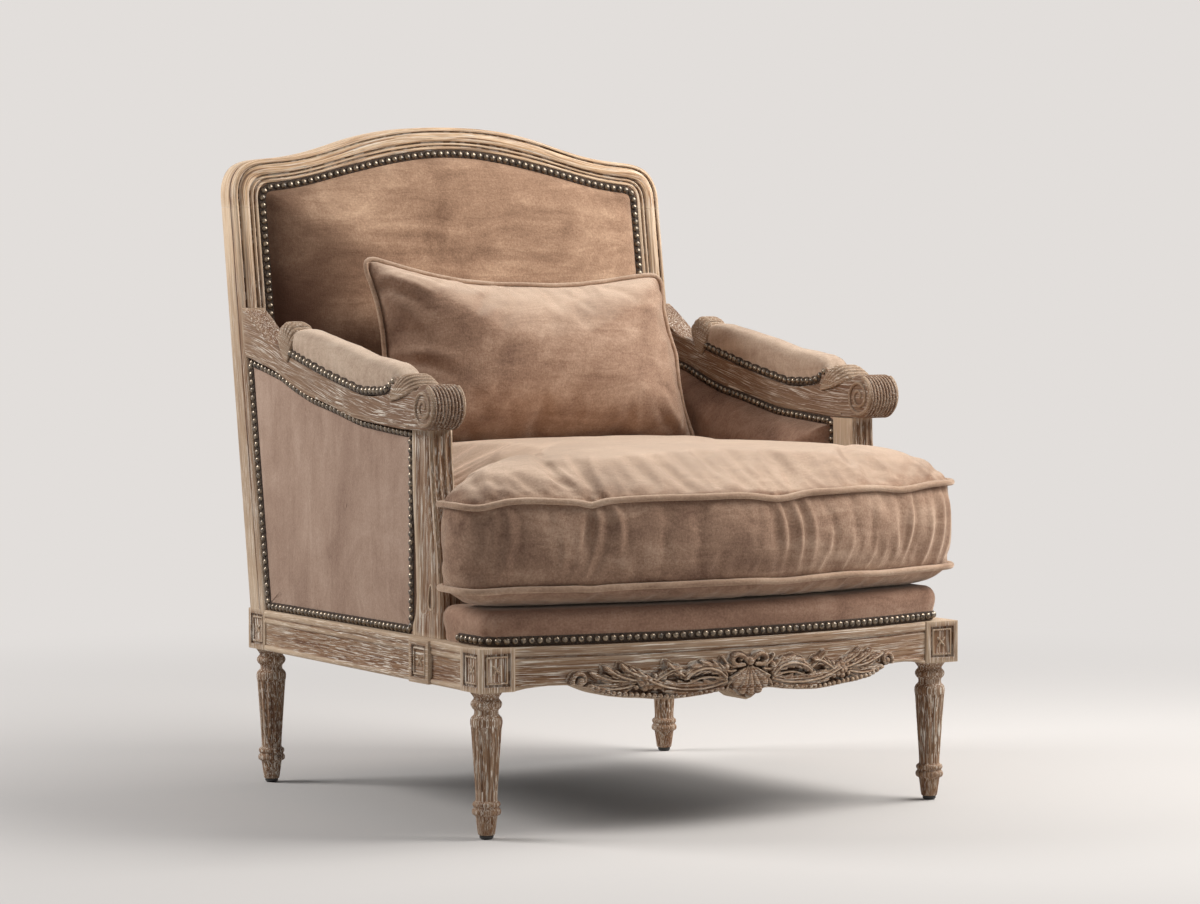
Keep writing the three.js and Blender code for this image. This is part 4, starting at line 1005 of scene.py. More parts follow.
@dataclass
class SeatFrame:
    """The seat rails: a bowed front rail with a shaped apron, and moulded side rails with stump blocks."""

    apron_drop: float = 32.0
    shoulder: float = 6.0
    thickness: float = 46.0
    stations: int = 90
    half: float = 338.2
    apron: Pairs = (
        (0, 1), (0.025, 0.93), (0.05, 0.74), (0.075, 0.58), (0.1, 0.54), (0.13, 0.57), (0.175, 0.65),
        (0.26, 0.74), (0.35, 0.79), (0.42, 0.75), (0.48, 0.68), (0.56, 0.62), (0.63, 0.52), (0.67, 0.38),
        (0.71, 0.2), (0.745, 0.05), (0.79, 0), (0.87, 0), (0.95, 0.08), (1, 0.2))
    stump: tuple[float, float] = (110.0, 163.0)
    stump_proud: float = 5.0
    stump_set: float = 0.5

    def apron_low(self, x: float) -> float:
        """The apron's lower edge."""
        drop = blend_rows(self.apron, abs(x) / PLAN.bow_half)[0]
        return PLAN.rail_bottom + self.shoulder - self.apron_drop * drop

    def build_front(self) -> Piece:
        """Models the front rail."""
        rings = []
        for i in range(self.stations + 1):
            x = -self.half + 2 * self.half * i / self.stations
            face, low, top = PLAN.front_face(x), self.apron_low(x), PLAN.rail_top
            section = [
                (3.0, low), (0.9, low + 0.7), (0.0, low + 2.4), (0.2, low + 4.4), (1.6, low + 5.6),
                (2.2, low + 6.6), (2.0, low + 9.0), (1.2, top - 24.0), (0.9, top - 16.5), (2.2, top - 15.6),
                (3.0, top - 14.0), (2.2, top - 12.4), (0.6, top - 11.6), (0.0, top - 9.8), (0.0, top - 4.0),
                (0.6, top - 1.6), (2.0, top - 0.3), (4.0, top), (self.thickness, top),
                (self.thickness, low)]
            rings.append([spot(x, face + deep, z) for deep, z in section])
        return Bench.loft("front_rail_moulding", rings)

    def build_side(self, name: str, side: int, rosette: Rosette) -> Piece:
        """Models one side rail with its stump block.

        Args:
            name: The rail's name.
            side: -1 for left and 1 for right.
            rosette: The flower for the stump block.

        Returns:
            The rail.
        """
        low, top = PLAN.rail_bottom, PLAN.rail_top
        section = [
            (1.6, low + 0.2), (0.4, low + 1.4), (0.0, low + 3.6), (0.4, low + 6.2), (1.6, low + 7.4),
            (2.8, low + 8.4), (3.4, low + 10.4), (3.5, low + 38.0), (3.2, low + 39.4), (1.6, low + 40.8),
            (0.9, low + 42.6), (0.9, low + 46.6), (1.6, low + 48.0), (1.2, low + 49.4), (0.2, low + 50.6),
            (0.0, low + 52.2), (0.0, low + 55.2), (0.5, low + 57.4), (2.2, top), (52.0, top), (52.0, low)]
        rings = []
        for y in (22.4, 110.0, 300.0, 629.6):
            outer = PLAN.side_outer(y)
            rings.append([spot(side * (outer - deep), y, z) for deep, z in section])
        rail = Bench.loft(name, rings)
        start, end = self.stump
        outer = PLAN.side_outer((start + end) / 2) + self.stump_proud - 0.8
        first = spot(min(side * outer, side * (outer - 30.0)), start, low - self.stump_set)
        last = spot(max(side * outer, side * (outer - 30.0)), end, top - self.stump_set)
        parts = CornerBlock().build(f"{name}_stump", first, last, [Vector((side, 0, 0))], rosette)
        return Bench.join(name, [rail, *parts])


@dataclass
class ShowArm:
    """An arm rail with a reeded scroll, a volute on both faces and a carved collar at each end of its pad.

    A collar is the place of its foot, and the place and height of each strand's top.
    """

    side: int
    reeds: int = 9
    reed_depth: float = 2.2
    scroll_steps: int = 40
    scroll_turn: float = 3.9
    volute_turns: float = 2.3
    volute_bead: float = 3.2
    volute_start: float = 0.62
    volute_inset: float = 4.6
    volute_eye: float = 2.6
    bead: float = 1.7
    bead_start: float = 178.0
    bead_up: float = 5.5
    strand: float = 4.6
    strand_out: float = 1.3
    collars: Sequence[tuple[float, Pairs]] = (
        (229, ((163, 597), (170.5, 601), (178, 605), (186, 608.5), (194, 610.5), (202, 610), (209, 605.5))),
        (545, ((530, 659), (537, 667), (545, 672.5), (553.5, 675), (562, 675), (570, 671.5), (577, 665))))

    def outline(self) -> tuple[list[Vector], list[float]]:
        """The side outline as 0, y, z in millimetres, and how strongly each point is reeded."""
        def place(s: float, h: float) -> Vector:
            """A point from its shares of the arm's span and rise."""
            return Vector((0, PLAN.scroll_y + s * PLAN.arm_span, PLAN.scroll_z + h * PLAN.arm_rise))

        arc = []
        for i in range(self.scroll_steps + 1):
            angle = pi * 1.5 - i / self.scroll_steps * self.scroll_turn
            arc.append(Vector((0, PLAN.scroll_y + PLAN.scroll_radius * cos(angle),
                               PLAN.scroll_z + PLAN.scroll_radius * sin(angle))))
        front = smooth_path([arc[-1]] + [place(*p) for p in FRONT_CURL], 4)[1:]
        seat = smooth_path([place(*p) for p in ARM_SEAT], 4)
        back = smooth_path([place(*p) for p in BACK_CURL], 4)
        end_high = PLAN.scroll_z + PLAN.arm_rise
        end_low = PLAN.scroll_z + ARM_LOW[-1][1] * PLAN.arm_rise
        end = [Vector((0, PLAN.stile_front(z) - 0.3, z)) for z in (end_high, end_high - 30, end_low)]
        low = smooth_path([end[-1]] + [place(*p) for p in reversed(ARM_LOW[:-1])], 4)[1:]
        tail = [Vector((0, y, PLAN.scroll_z - PLAN.scroll_radius)) for y in (180.0, 160.0, 147.0)]
        points = arc + front + seat + back + end + low + tail
        reeded = [1.0] * len(arc) + [0.75] * 10 + [0.25] * (len(front) - 10)
        reeded += [0.0] * (len(points) - len(reeded))
        return points, reeded

    def build(self, name: str) -> Piece:
        """Models the rail across its width, station by station."""
        points, reeded = self.outline()
        count = len(points)
        normals = []
        for i, p in enumerate(points):
            along = points[(i + 1) % count] - points[i - 1]
            normals.append(Vector((0, -along.z, along.y)).normalized())
        area = sum(a.y * b.z - b.y * a.z for a, b in zip(points, points[1:] + points[:1]))
        sign = 1.0 if area > 0 else -1.0
        rings = []
        columns = self.reeds * 6
        for k in range(columns + 1):
            share = k / columns
            reed = abs(sin(pi * share * self.reeds)) ** 0.6
            edge = max(0.0, 1.0 - min(share, 1.0 - share) / 0.045)
            ring = []
            for p, n, strong in zip(points, normals, reeded):
                sink = (1.0 - reed) * self.reed_depth * strong + edge * edge * (1.5 if strong else 1.2)
                q = p + n * sink * sign
                x = PLAN.arm_inner + (PLAN.arm_outer(p.y) - PLAN.arm_inner) * share
                ring.append(spot(self.side * x, q.y, q.z))
            rings.append(ring)
        parts = [Bench.loft(name, rings)]
        for face in (0, 1):
            parts.append(self.volute(face))
            parts.append(self.edge_bead(face))
        for end in (0, 1):
            parts += self.collar(end)
        return Bench.join(name, parts)

    def volute(self, face: int) -> Piece:
        """The raised spiral on one face of the scroll."""
        x = PLAN.arm_outer(PLAN.scroll_y) - 0.2 if face else PLAN.arm_inner + 0.2
        path, thin = [], []
        steps = 60
        for i in range(steps + 1):
            t = i / steps
            angle = pi * self.volute_start + t * self.volute_turns * tau
            radius = (PLAN.scroll_radius - self.volute_inset) * (1 - t) ** 0.9 + self.volute_eye
            path.append(spot(self.side * x, PLAN.scroll_y + radius * cos(angle),
                             PLAN.scroll_z + radius * sin(angle)))
            thin.append(1.0 - 0.35 * t)
        return draw_tube("volute", path, self.volute_bead * MM, thin=thin)

    def edge_bead(self, face: int) -> Piece:
        """A bead that follows the arm's lower edge on one face."""
        path = []
        for i in range(31):
            y = self.bead_start + (PLAN.stile_front(620.0) - 6.0 - self.bead_start) * i / 30
            x = PLAN.arm_outer(y) - 0.4 if face else PLAN.arm_inner + 0.4
            path.append(spot(self.side * x, y, PLAN.arm_low(y) + self.bead_up))
        return draw_tube("arm_bead", smooth_path(path, 2), self.bead * MM)

    def collar(self, end: int) -> list[Piece]:
        """The strands of the carved collar that curls up round one end of the pad."""
        foot_y, tops = self.collars[end]
        foot = PLAN.arm_seat(foot_y) - 9.0
        strands = []
        for number, (top_y, top_z) in enumerate(tops):
            path, thin = [], []
            for i in range(29):
                turn = pi * i / 28
                lift = sin(turn) ** 0.75
                y = foot_y + (top_y - foot_y) * lift ** 0.8
                half, middle = PLAN.arm_across(y)
                across = copysign(abs(cos(turn)) ** 0.42, cos(turn))
                x = self.side * (middle + (half + self.strand_out) * across)
                path.append(spot(x, y, foot + (top_z - foot) * lift))
                thin.append(0.35 + 0.65 * lift ** 0.5)
            strands.append(draw_tube(f"strand_{number}", path, self.strand * MM, thin=thin))
        return strands


def draw_tube(name: str, path: Line, radius: float, closed: bool = False,
              thin: Optional[Sequence[float]] = None, resolution: int = 2) -> Piece:
    """Draws a curve with a round section and turns it into a closed mesh.

    Args:
        name: The piece's name.
        path: The middle of the tube, in metres.
        radius: Its radius, in metres.
        closed: Whether it comes back to its start.
        thin: The share of the radius at each point.
        resolution: How fine the round section is.

    Returns:
        The tube.
    """
    Bench.clear()
    bpy.ops.curve.primitive_nurbs_path_add()
    piece = Bench.take(name)
    curve = piece.data
    curve.splines.clear()
    line = curve.splines.new("POLY")
    line.points.add(len(path) - 1)
    for i, p in enumerate(path):
        line.points[i].co = (*p, 1.0)
        line.points[i].radius = thin[i] if thin else 1.0
    line.use_cyclic_u = closed
    curve.dimensions = "3D"
    curve.bevel_depth = radius
    curve.bevel_resolution = resolution
    curve.use_fill_caps = not closed
    Bench.pick(piece)
    bpy.ops.object.convert(target="MESH")
    piece = Bench.take(name)
    Bench.edit()
    bpy.ops.mesh.remove_doubles(threshold=1e-6)
    Bench.close()
    Bench.settle()
    return piece


@dataclass
class ArmPost:
    """The fluted post that carries an arm, set back in a soft S behind the seat's front corner."""

    side: int
    rows: Sequence[tuple[float, float, float]] = (
        (0, -0.36, 1), (0.045, -0.36, 0.99), (0.1, -0.355, 0.85), (0.185, -0.36, 0.8), (0.3, -0.3, 0.82),
        (0.43, -0.22, 0.86), (0.56, -0.11, 0.92), (0.69, -0.01, 0.975), (0.8, 0.06, 0.99), (0.9, 0.1, 0.99),
        (1, 0.12, 1))
    front: float = 136.0
    width: float = 58.0
    flutes: int = 3
    flute_depth: float = 2.6

    def section(self, y0: float, y1: float, z: float, fade: float) -> list[Vector]:
        """One level of the post.

        Args:
            y0: Its front.
            y1: Its back.
            z: Its height.
            fade: How deep the flutes and grooves are there, from 0 to 1.

        Returns:
            The section's points.
        """
        inner, outer = PLAN.post_inner, PLAN.post_outer
        span = y1 - y0
        flank = [
            (0.0, 3.0), (0.0, 0.05 * span + 3.0), (1.0, 0.16 * span), (2.8, 0.2 * span), (2.8, 0.225 * span),
            (0.6, 0.27 * span), (0.0, 0.34 * span), (0.3, 0.4 * span), (2.0, 0.47 * span),
            (2.8, 0.55 * span), (2.6, 0.66 * span), (1.4, 0.76 * span), (0.2, 0.84 * span), (0.0, span)]
        points = [Vector((outer - deep * fade, y0 + along, z)) for deep, along in reversed(flank)]
        face = self.flutes * 8
        for i in range(face + 1):
            share = i / face
            wave = sin(pi * share * self.flutes) ** 2
            edge = min(share, 1 - share)
            x = outer - 2.6 - (outer - inner - 5.2) * share
            points.append(Vector((x, y0 + wave * self.flute_depth * fade
                                  + (1.2 if edge < 0.01 else 0.0), z)))
        points += [Vector((inner, y0 + 3.4, z)), Vector((inner, y1, z))]
        return [spot(self.side * p.x, p.y, p.z) for p in points]

    def build(self, name: str) -> Piece:
        """Models the post from its foot to the scroll."""
        low, high = PLAN.rail_top + PLAN.gap, PLAN.scroll_z - PLAN.scroll_radius - PLAN.gap
        rings = []
        steps = 46
        for i in range(steps + 1):
            h = i / steps
            front, back = blend_rows(self.rows, h)
            fade = min(1.0, max(0.0, (h - 0.1) / 0.035)) * min(1.0, max(0.0, (0.985 - h) / 0.03))
            start, end = self.front + front * self.width, self.front + back * self.width
            rings.append(self.section(start, end, low + (high - low) * h, fade))
        return Bench.join(name, [Bench.loft(name, rings), self.loop()])

    def loop(self) -> Piece:
        """The raised loop on the outer face of the post, near its foot."""
        x = self.side * (PLAN.post_outer - 1.0)
        path = [spot(x, 144.0 + 7.0 * sin(a), 309.0 - 17.0 * cos(a) + 3.0 * cos(2 * a))
                for a in (k / 20 * tau for k in range(20))]
        return draw_tube("post_loop", path, 1.7 * MM, closed=True)


@dataclass
class NailRow(Copied):
    """A row of round nail heads on a dark strip of painted shade between the heads. The nail is modelled
    once and copied.
    """

    head: float = 9.6
    height: float = 3.6
    pitch: float = 11.5
    band: float = 12.6
    band_height: float = 1.3
    strip: Pairs = ((-1.0, -0.2), (-0.85, 0.8), (-0.4, 1.0), (0.4, 1.0), (0.85, 0.8), (1.0, -0.2))

    def build(self) -> None:
        """Models one nail head on the XY plane, facing +Z."""
        Bench.clear()
        bpy.ops.mesh.primitive_uv_sphere_add(segments=12, ring_count=8, radius=self.head * MM / 2)
        self.model = Bench.take("nail_model")
        Bench.edit()
        Bench.halve()
        bpy.ops.mesh.select_all(action="SELECT")
        bpy.ops.transform.resize(value=(1, 1, self.height * 2 / self.head))
        bpy.ops.object.mode_set(mode="OBJECT")
        Bench.settle()

    def row(self, name: str, places: Line, facing: Callable[[int], Vector]) -> Piece:
        """Sets a nail at each place.

        Args:
            name: The row's name.
            places: Where the heads sit, in metres.
            facing: Takes a nail's number and returns the way that it faces.

        Returns:
            All of the row's nails as one piece.
        """
        piece = self.duplicate(name)
        shape = bmesh.new()
        for i, place in enumerate(places):
            start = len(shape.verts)
            shape.from_mesh(self.model.data)
            shape.verts.ensure_lookup_table()
            tilt = Vector((noise.noise(place * 210.0), noise.noise(place * 190.0 + Vector((5, 3, 1))),
                           noise.noise(place * 170.0 - Vector((2, 7, 4))))) * 0.3
            bmesh.ops.transform(shape, matrix=stand(place, facing(i) + tilt), verts=shape.verts[start:])
        shape.to_mesh(piece.data)
        shape.free()
        return piece

    def shade_strip(self, name: str, line: Line, facing: Callable[[int], Vector],
              closed: bool) -> Piece:
        """Lays the dark strip of painted shade under a row.

        Args:
            name: The strip's name.
            line: The places that it runs through, in metres.
            facing: Takes a place's number and returns the way that it faces.
            closed: Whether the strip comes back to its start.

        Returns:
            The strip.
        """
        rings = []
        count = len(line)
        for i, p in enumerate(line):
            before = line[i - 1] if i or closed else line[0]
            after = line[(i + 1) % count] if i < count - 1 or closed else line[-1]
            out = facing(i)
            across = (after - before).cross(out).normalized()
            high, half = self.band_height * MM, self.band / 2 * MM
            rings.append([p + across * (half * u) + out * (high * v)
                          for u, v in self.strip])
        return Bench.loft(name, rings, looped=closed)


def drawn_in(outline: Line, distance: float) -> list[Vector]:
    """Draws a flat closed outline, given as u, v, 0, in by a small distance."""
    count = len(outline)
    area = sum(a.x * b.y - b.x * a.y for a, b in zip(outline, list(outline[1:]) + [outline[0]]))
    sign = 1.0 if area > 0 else -1.0
    moved = []
    for i, p in enumerate(outline):
        a = (p - outline[i - 1]).normalized()
        b = (outline[(i + 1) % count] - p).normalized()
        normal = Vector((-(a.y + b.y), a.x + b.x, 0)).normalized()
        stretch = max(normal.dot(Vector((-a.y, a.x, 0))), 0.7)
        moved.append(p + normal * (sign * distance / stretch))
    return moved


@dataclass
class StuffedPanel:
    """A tight upholstered panel: flat under its nails, then rising to a soft crown."""

    outline: Line
    centre: Vector
    rim: float
    bulge: float
    thickness: float
    place: Callable[[float, float, float], Vector]
    gathers: float = 0.9
    gather_pitch: float = 26.0
    gather_reach: float = 26.0
    sags: float = 2.0
    rings: int = 16
    grow: float = 0.55
    pitch: float = 7.0
    crest: float = 0.96
    shoulder: float = 2.4
    patch_scale: float = 0.011
    sag_scale: float = 0.0075
    sag_start: float = 60.0

    def eased(self, ring: Line, times: int) -> list[Vector]:
        """Rounds the corners of a ring a little."""
        for _ in range(times):
            ring = [(ring[i - 1] + p * 2 + ring[(i + 1) % len(ring)]) / 4 for i, p in enumerate(ring)]
        return list(ring)

    def build(self, name: str) -> Piece:
        """Models the panel in rings from its edge to its crown.

        Args:
            name: The panel's name.

        Returns:
            The panel, closed at the back.
        """
        edge = even_path(self.outline, self.pitch, closed=True)
        rim = drawn_in(edge, self.rim)
        loops = [[self.place(p.x, p.y, -self.thickness) for p in edge],
                 [self.place(p.x, p.y, -0.8) for p in edge],
                 [self.place(p.x, p.y, 0.0) for p in drawn_in(edge, 1.2)],
                 [self.place(p.x, p.y, 0.0) for p in drawn_in(edge, self.rim - 1.5)]]
        for k in range(self.rings):
            t = (k + 0.35) / self.rings
            rim = self.eased(rim, 3)
            ring = []
            for i, p in enumerate(rim):
                q = p.lerp(self.centre, t)
                depth = (p - q).length
                full = self.bulge * (1.0 - (1.0 - min(t / self.crest, 1.0)) ** self.shoulder) ** self.grow
                fold = sin(i * self.pitch / self.gather_pitch * tau + 2.0 * noise.noise(p * 0.02))
                patch = noise.noise(p * self.patch_scale + Vector((3, 1, 7)))
                fold *= exp(-depth / self.gather_reach) * (0.55 + 0.9 * patch)
                sag = noise.noise(Vector((q.x, q.y, 40.0)) * self.sag_scale)
                sag *= min(depth / self.sag_start, 1.0)
                full += self.gathers * fold + self.sags * sag
                ring.append(self.place(q.x, q.y, max(full, 0.0)))
            loops.append(ring)
        return Bench.loft(name, loops)


@dataclass
class ArmPad:
    """The padded roll on top of an arm, pulled down to its nails."""

    side: int
    height: float = 55.0
    collar: float = 45.0
    lip: float = 20.0
    section: Pairs = (
        (0.9, 0), (0.93, 0.1), (0.94, 0.22), (1, 0.36), (1.03, 0.5), (1, 0.66), (0.9, 0.81), (0.72, 0.92),
        (0.5, 0.975), (0.25, 1), (0, 1))
    ends: Sequence[tuple[float, float, float]] = (
        (0, 0.36, 0.84), (0.015, 0.5, 0.9), (0.04, 0.64, 0.95), (0.09, 0.78, 0.98), (0.16, 0.87, 1),
        (0.3, 0.97, 1), (0.5, 1, 1), (0.72, 0.95, 1), (0.86, 0.89, 1), (0.93, 0.8, 0.98),
        (0.975, 0.68, 0.94), (1, 0.5, 0.86))

    @property
    def start(self) -> float:
        """Where the pad starts."""
        return PLAN.scroll_y + ARM_SEAT[0][0] * PLAN.arm_span - self.lip

    @property
    def stop(self) -> float:
        """Where the pad ends, inside the rear collar."""
        return PLAN.scroll_y + ARM_SEAT[-1][0] * PLAN.arm_span - self.collar

    def build(self, name: str) -> Piece:
        """Models the pad from front to back."""
        rings = []
        steps = 84
        for i in range(steps + 1):
            share = 0.5 - 0.5 * cos(pi * i / steps)
            tall, wide = blend_rows(self.ends, share)
            y = self.start + 0.5 + (self.stop - self.start - 1.0) * share
            half, middle = PLAN.arm_across(y)
            base = PLAN.arm_seat(y) + 0.6
            ring = []
            both = [(w, h, 1) for w, h in self.section]
            both += [(w, h, -1) for w, h in reversed(self.section[:-1])]
            for w, h, flank in both:
                fold = sin(i * 1.65 + flank + 2.0 * h) * 1.2 * exp(-abs(h - 0.22) / 0.3)
                wave = noise.noise(Vector((y * 0.02, w * flank, h * 1.4))) * 1.1 * h
                ring.append(spot(self.side * (middle + flank * (w * wide * half + fold)), y,
                                 base + h * tall * self.height + wave))
            rings.append(ring)
        return Bench.loft(name, rings)

    def nail_places(self, flank: int, pitch: float) -> list[Vector]:
        """The places of the nails on one flank."""
        path = []
        for i in range(41):
            share = 0.03 + 0.94 * i / 40
            y = self.start + (self.stop - self.start) * share
            half, middle = PLAN.arm_across(y)
            curl = 11.0 * exp(-((share - 0.03) / 0.035) ** 2)
            path.append(spot(self.side * (middle + flank * (half * 0.95 - curl * 0.1)), y,
                             PLAN.arm_seat(y) + 6.2 + curl))
        return even_path(path, pitch * MM)


@dataclass
class SeatDeck:
    """The sprung deck under the cushion: a rolled front edge pulled down to the nails."""

    reveal: float = 7.0
    ear: float = 373.0
    back_half: float = 350.0
    neck: float = 330.0
    corner: float = 34.0
    levels: Pairs = (
        (0, 2.6), (0.05, 1.2), (0.1, 0.4), (0.24, 0.6), (0.36, -0.6), (0.5, -2.2), (0.64, -3),
        (0.76, -2.2), (0.86, 0.2), (0.93, 3.6), (0.98, 8.5), (1, 16))

    def outline(self) -> list[Vector]:
        """The deck's outline as x, y, 0, from the left of the front edge round to the right and back."""
        straight = self.ear - self.corner
        front = [Vector((x, PLAN.front_face(x) + self.reveal, 0)) for x in
                 (straight * (2 * i / 60 - 1) for i in range(61))]
        low = PLAN.front_face(straight) + self.reveal
        round_corner = [
            Vector((straight + self.corner * sin(a), low + self.corner * (1 - cos(a)), 0))
            for a in (pi / 2 * k / 8 for k in range(1, 9))]
        right = round_corner + [
            Vector((self.ear, 60, 0)), Vector((self.ear, 90, 0)), Vector((self.ear - 4, 104, 0)),
            Vector((self.ear - 16, 111, 0)), Vector((self.neck, 112, 0)), Vector((self.neck, 150, 0)),
            Vector((self.neck, 197, 0)), Vector((self.back_half, 197, 0)),
            Vector((self.back_half, 400, 0)), Vector((self.back_half, 626, 0)), Vector((327, 626, 0)),
            Vector((327, 640, 0))]
        left = [Vector((-p.x, p.y, 0)) for p in reversed(right)]
        return front + right + left

    def build(self, name: str) -> Piece:
        """Models the deck in levels."""
        outline = self.outline()
        loops = []
        for share, inward in self.levels:
            ring = []
            z = PLAN.rail_top + PLAN.gap + (PLAN.deck_top - PLAN.rail_top - PLAN.gap) * share
            for i, p in enumerate(drawn_in(outline, inward)):
                near_corner = exp(-((abs(p.x) - 365) / 26) ** 2) * (1 if p.y < 40 else 0)
                fold = sin(i * 2.2) * 1.5 * near_corner * sin(pi * min(share * 1.1, 1.0))
                wave = noise.noise(Vector((p.x * 0.012, p.y * 0.012, share * 1.2))) * 1.5 * share
                out = (p - Vector((0, 200, 0))).normalized()
                q = p + out * (fold + (wave if p.y < 60 else 0.0))
                ring.append(spot(q.x, q.y, z))
            loops.append(ring)
        return Bench.loft(name, loops)

    def nail_path(self) -> list[Vector]:
        """The path of the nails along the front, with an extra point on each side."""
        outline = self.outline()
        start = len(outline) - 9
        return [outline[(start + k) % len(outline)] for k in range(61 + 18)]


@dataclass(frozen=True)
class Fold:
    """One soft ridge, or with a negative rise one crease, between two flat places, in millimetres."""

    start: tuple[float, float]
    end: tuple[float, float]
    width: float
    rise: float

    def lift(self, flat: np.ndarray) -> np.ndarray:
        """How far each flat place is lifted.

        Args:
            flat: Places as rows of two.

        Returns:
            One lift for each place, in millimetres.
        """
        start = np.array(self.start)
        along = np.array(self.end) - start
        share = np.clip((flat - start) @ along / (along @ along), 0.0, 1.0)
        bow = np.sin(np.pi * share) * 0.06 * np.linalg.norm(along)
        side = np.array([-along[1], along[0]]) / np.linalg.norm(along)
        near = flat - start - share[:, None] * along - bow[:, None] * side
        taper = 0.35 + 0.65 * np.sin(np.pi * np.clip(share * 0.9 + 0.1, 0.0, 1.0)) ** 0.7
        return self.rise * taper * np.exp(-(np.linalg.norm(near, axis=1) / self.width) ** 2)


def folded(*rows: tuple[float, ...]) -> tuple[Fold, ...]:
    """Turns rows of two start, two end, width and rise values into folds."""
    return tuple(Fold(row[:2], row[2:4], row[4], row[5]) for row in rows)


def crease(piece: Piece, folds: Sequence[Fold], flatten: Callable[[np.ndarray], np.ndarray],
           weigh: Callable[[np.ndarray, np.ndarray], np.ndarray]) -> None:
    """Moves a soft piece's points out and in along its folds.

    Args:
        piece: The piece.
        folds: Its folds.
        flatten: Turns places in metres into the flat places that the folds use.
        weigh: Takes places and normals and says how far each point takes part, from 0 to 1.
    """
    count = len(piece.data.vertices)
    places = np.empty(count * 3)
    facing = np.empty(count * 3)
    piece.data.vertices.foreach_get("co", places)
    piece.data.vertex_normals.foreach_get("vector", facing)
    places, facing = places.reshape(-1, 3), facing.reshape(-1, 3)
    flat = flatten(places)
    weight = weigh(places, facing)
    busy = weight > 0.001
    lift = sum(fold.lift(flat[busy]) for fold in folds) * weight[busy] * MM
    places[busy] += facing[busy] * lift[:, None]
    piece.data.vertices.foreach_set("co", places.ravel())
    piece.data.update()


def ease_in(values: np.ndarray, low: float, high: float) -> np.ndarray:
    """Rises smoothly from 0 at low to 1 at high."""
    t = np.clip((values - low) / (high - low), 0.0, 1.0)
    return t * t * (3.0 - 2.0 * t)


@dataclass(frozen=True)
class Pinch:
    """A place where a seam is pulled down: its share of the half width, its depth and its reach."""

    share: float
    depth: float
    reach: float


@dataclass
class Stuffing:
    """How a soft piece is blown up by the cloth simulation."""

    voxel: float
    pressure: float = 4.0
    slack: float = 0.03
    cap: float = 0.012
    stiffness: float = 12.0
    bend: float = 0.4
    frames: int = 20
    smooth: int = 1
    ease: int = 12
    calm: int = 2
    quality: int = 5
    mass: float = 0.25

    def fill(self, piece: Piece, pinned: Callable[[Vector], float]) -> None:
        """Remeshes a piece, blows it up, caps how far each point has moved and divides it once.

        Args:
            piece: The piece, a closed form slightly smaller than it ends up.
            pinned: Says how firmly a point is held, from 0 to 1.
        """
        Bench.modify(piece, "REMESH", mode="VOXEL", voxel_size=self.voxel)
        Bench.modify(piece, "SMOOTH", factor=0.5, iterations=self.smooth)
        held = piece.vertex_groups.new(name="held")
        free = piece.vertex_groups.new(name="free")
        for vertex in piece.data.vertices:
            hold = pinned(vertex.co)
            held.add([vertex.index], hold, "REPLACE")
            free.add([vertex.index], 1.0 - hold, "REPLACE")
        Bench.modify(piece, "SMOOTH", factor=0.6, iterations=self.ease, vertex_group="free")
        rest = [v.co.copy() for v in piece.data.vertices]
        Bench.pick(piece)
        cloth = piece.modifiers.new("Cloth", "CLOTH")
        settings = cloth.settings
        settings.quality = self.quality
        settings.mass = self.mass
        settings.tension_stiffness = self.stiffness
        settings.compression_stiffness = self.stiffness
        settings.shear_stiffness = self.stiffness * 0.5
        settings.bending_stiffness = self.bend
        settings.use_pressure = True
        settings.uniform_pressure_force = self.pressure
        settings.shrink_min = -self.slack
        settings.vertex_group_mass = "held"
        settings.effector_weights.gravity = 0.0
        cloth.point_cache.frame_start = 1
        cloth.point_cache.frame_end = self.frames
        for number in range(1, self.frames + 1):
            bpy.context.scene.frame_set(number)
        bpy.ops.object.modifier_apply(modifier="Cloth")
        bpy.context.scene.frame_set(1)
        for vertex, place in zip(piece.data.vertices, rest):
            move = vertex.co - place
            if move.length > self.cap:
                vertex.co = place + move * (self.cap / move.length)
        Bench.modify(piece, "SMOOTH", factor=0.5, iterations=self.calm, vertex_group="free")
        piece.vertex_groups.clear()
        Bench.divide(piece, 1)


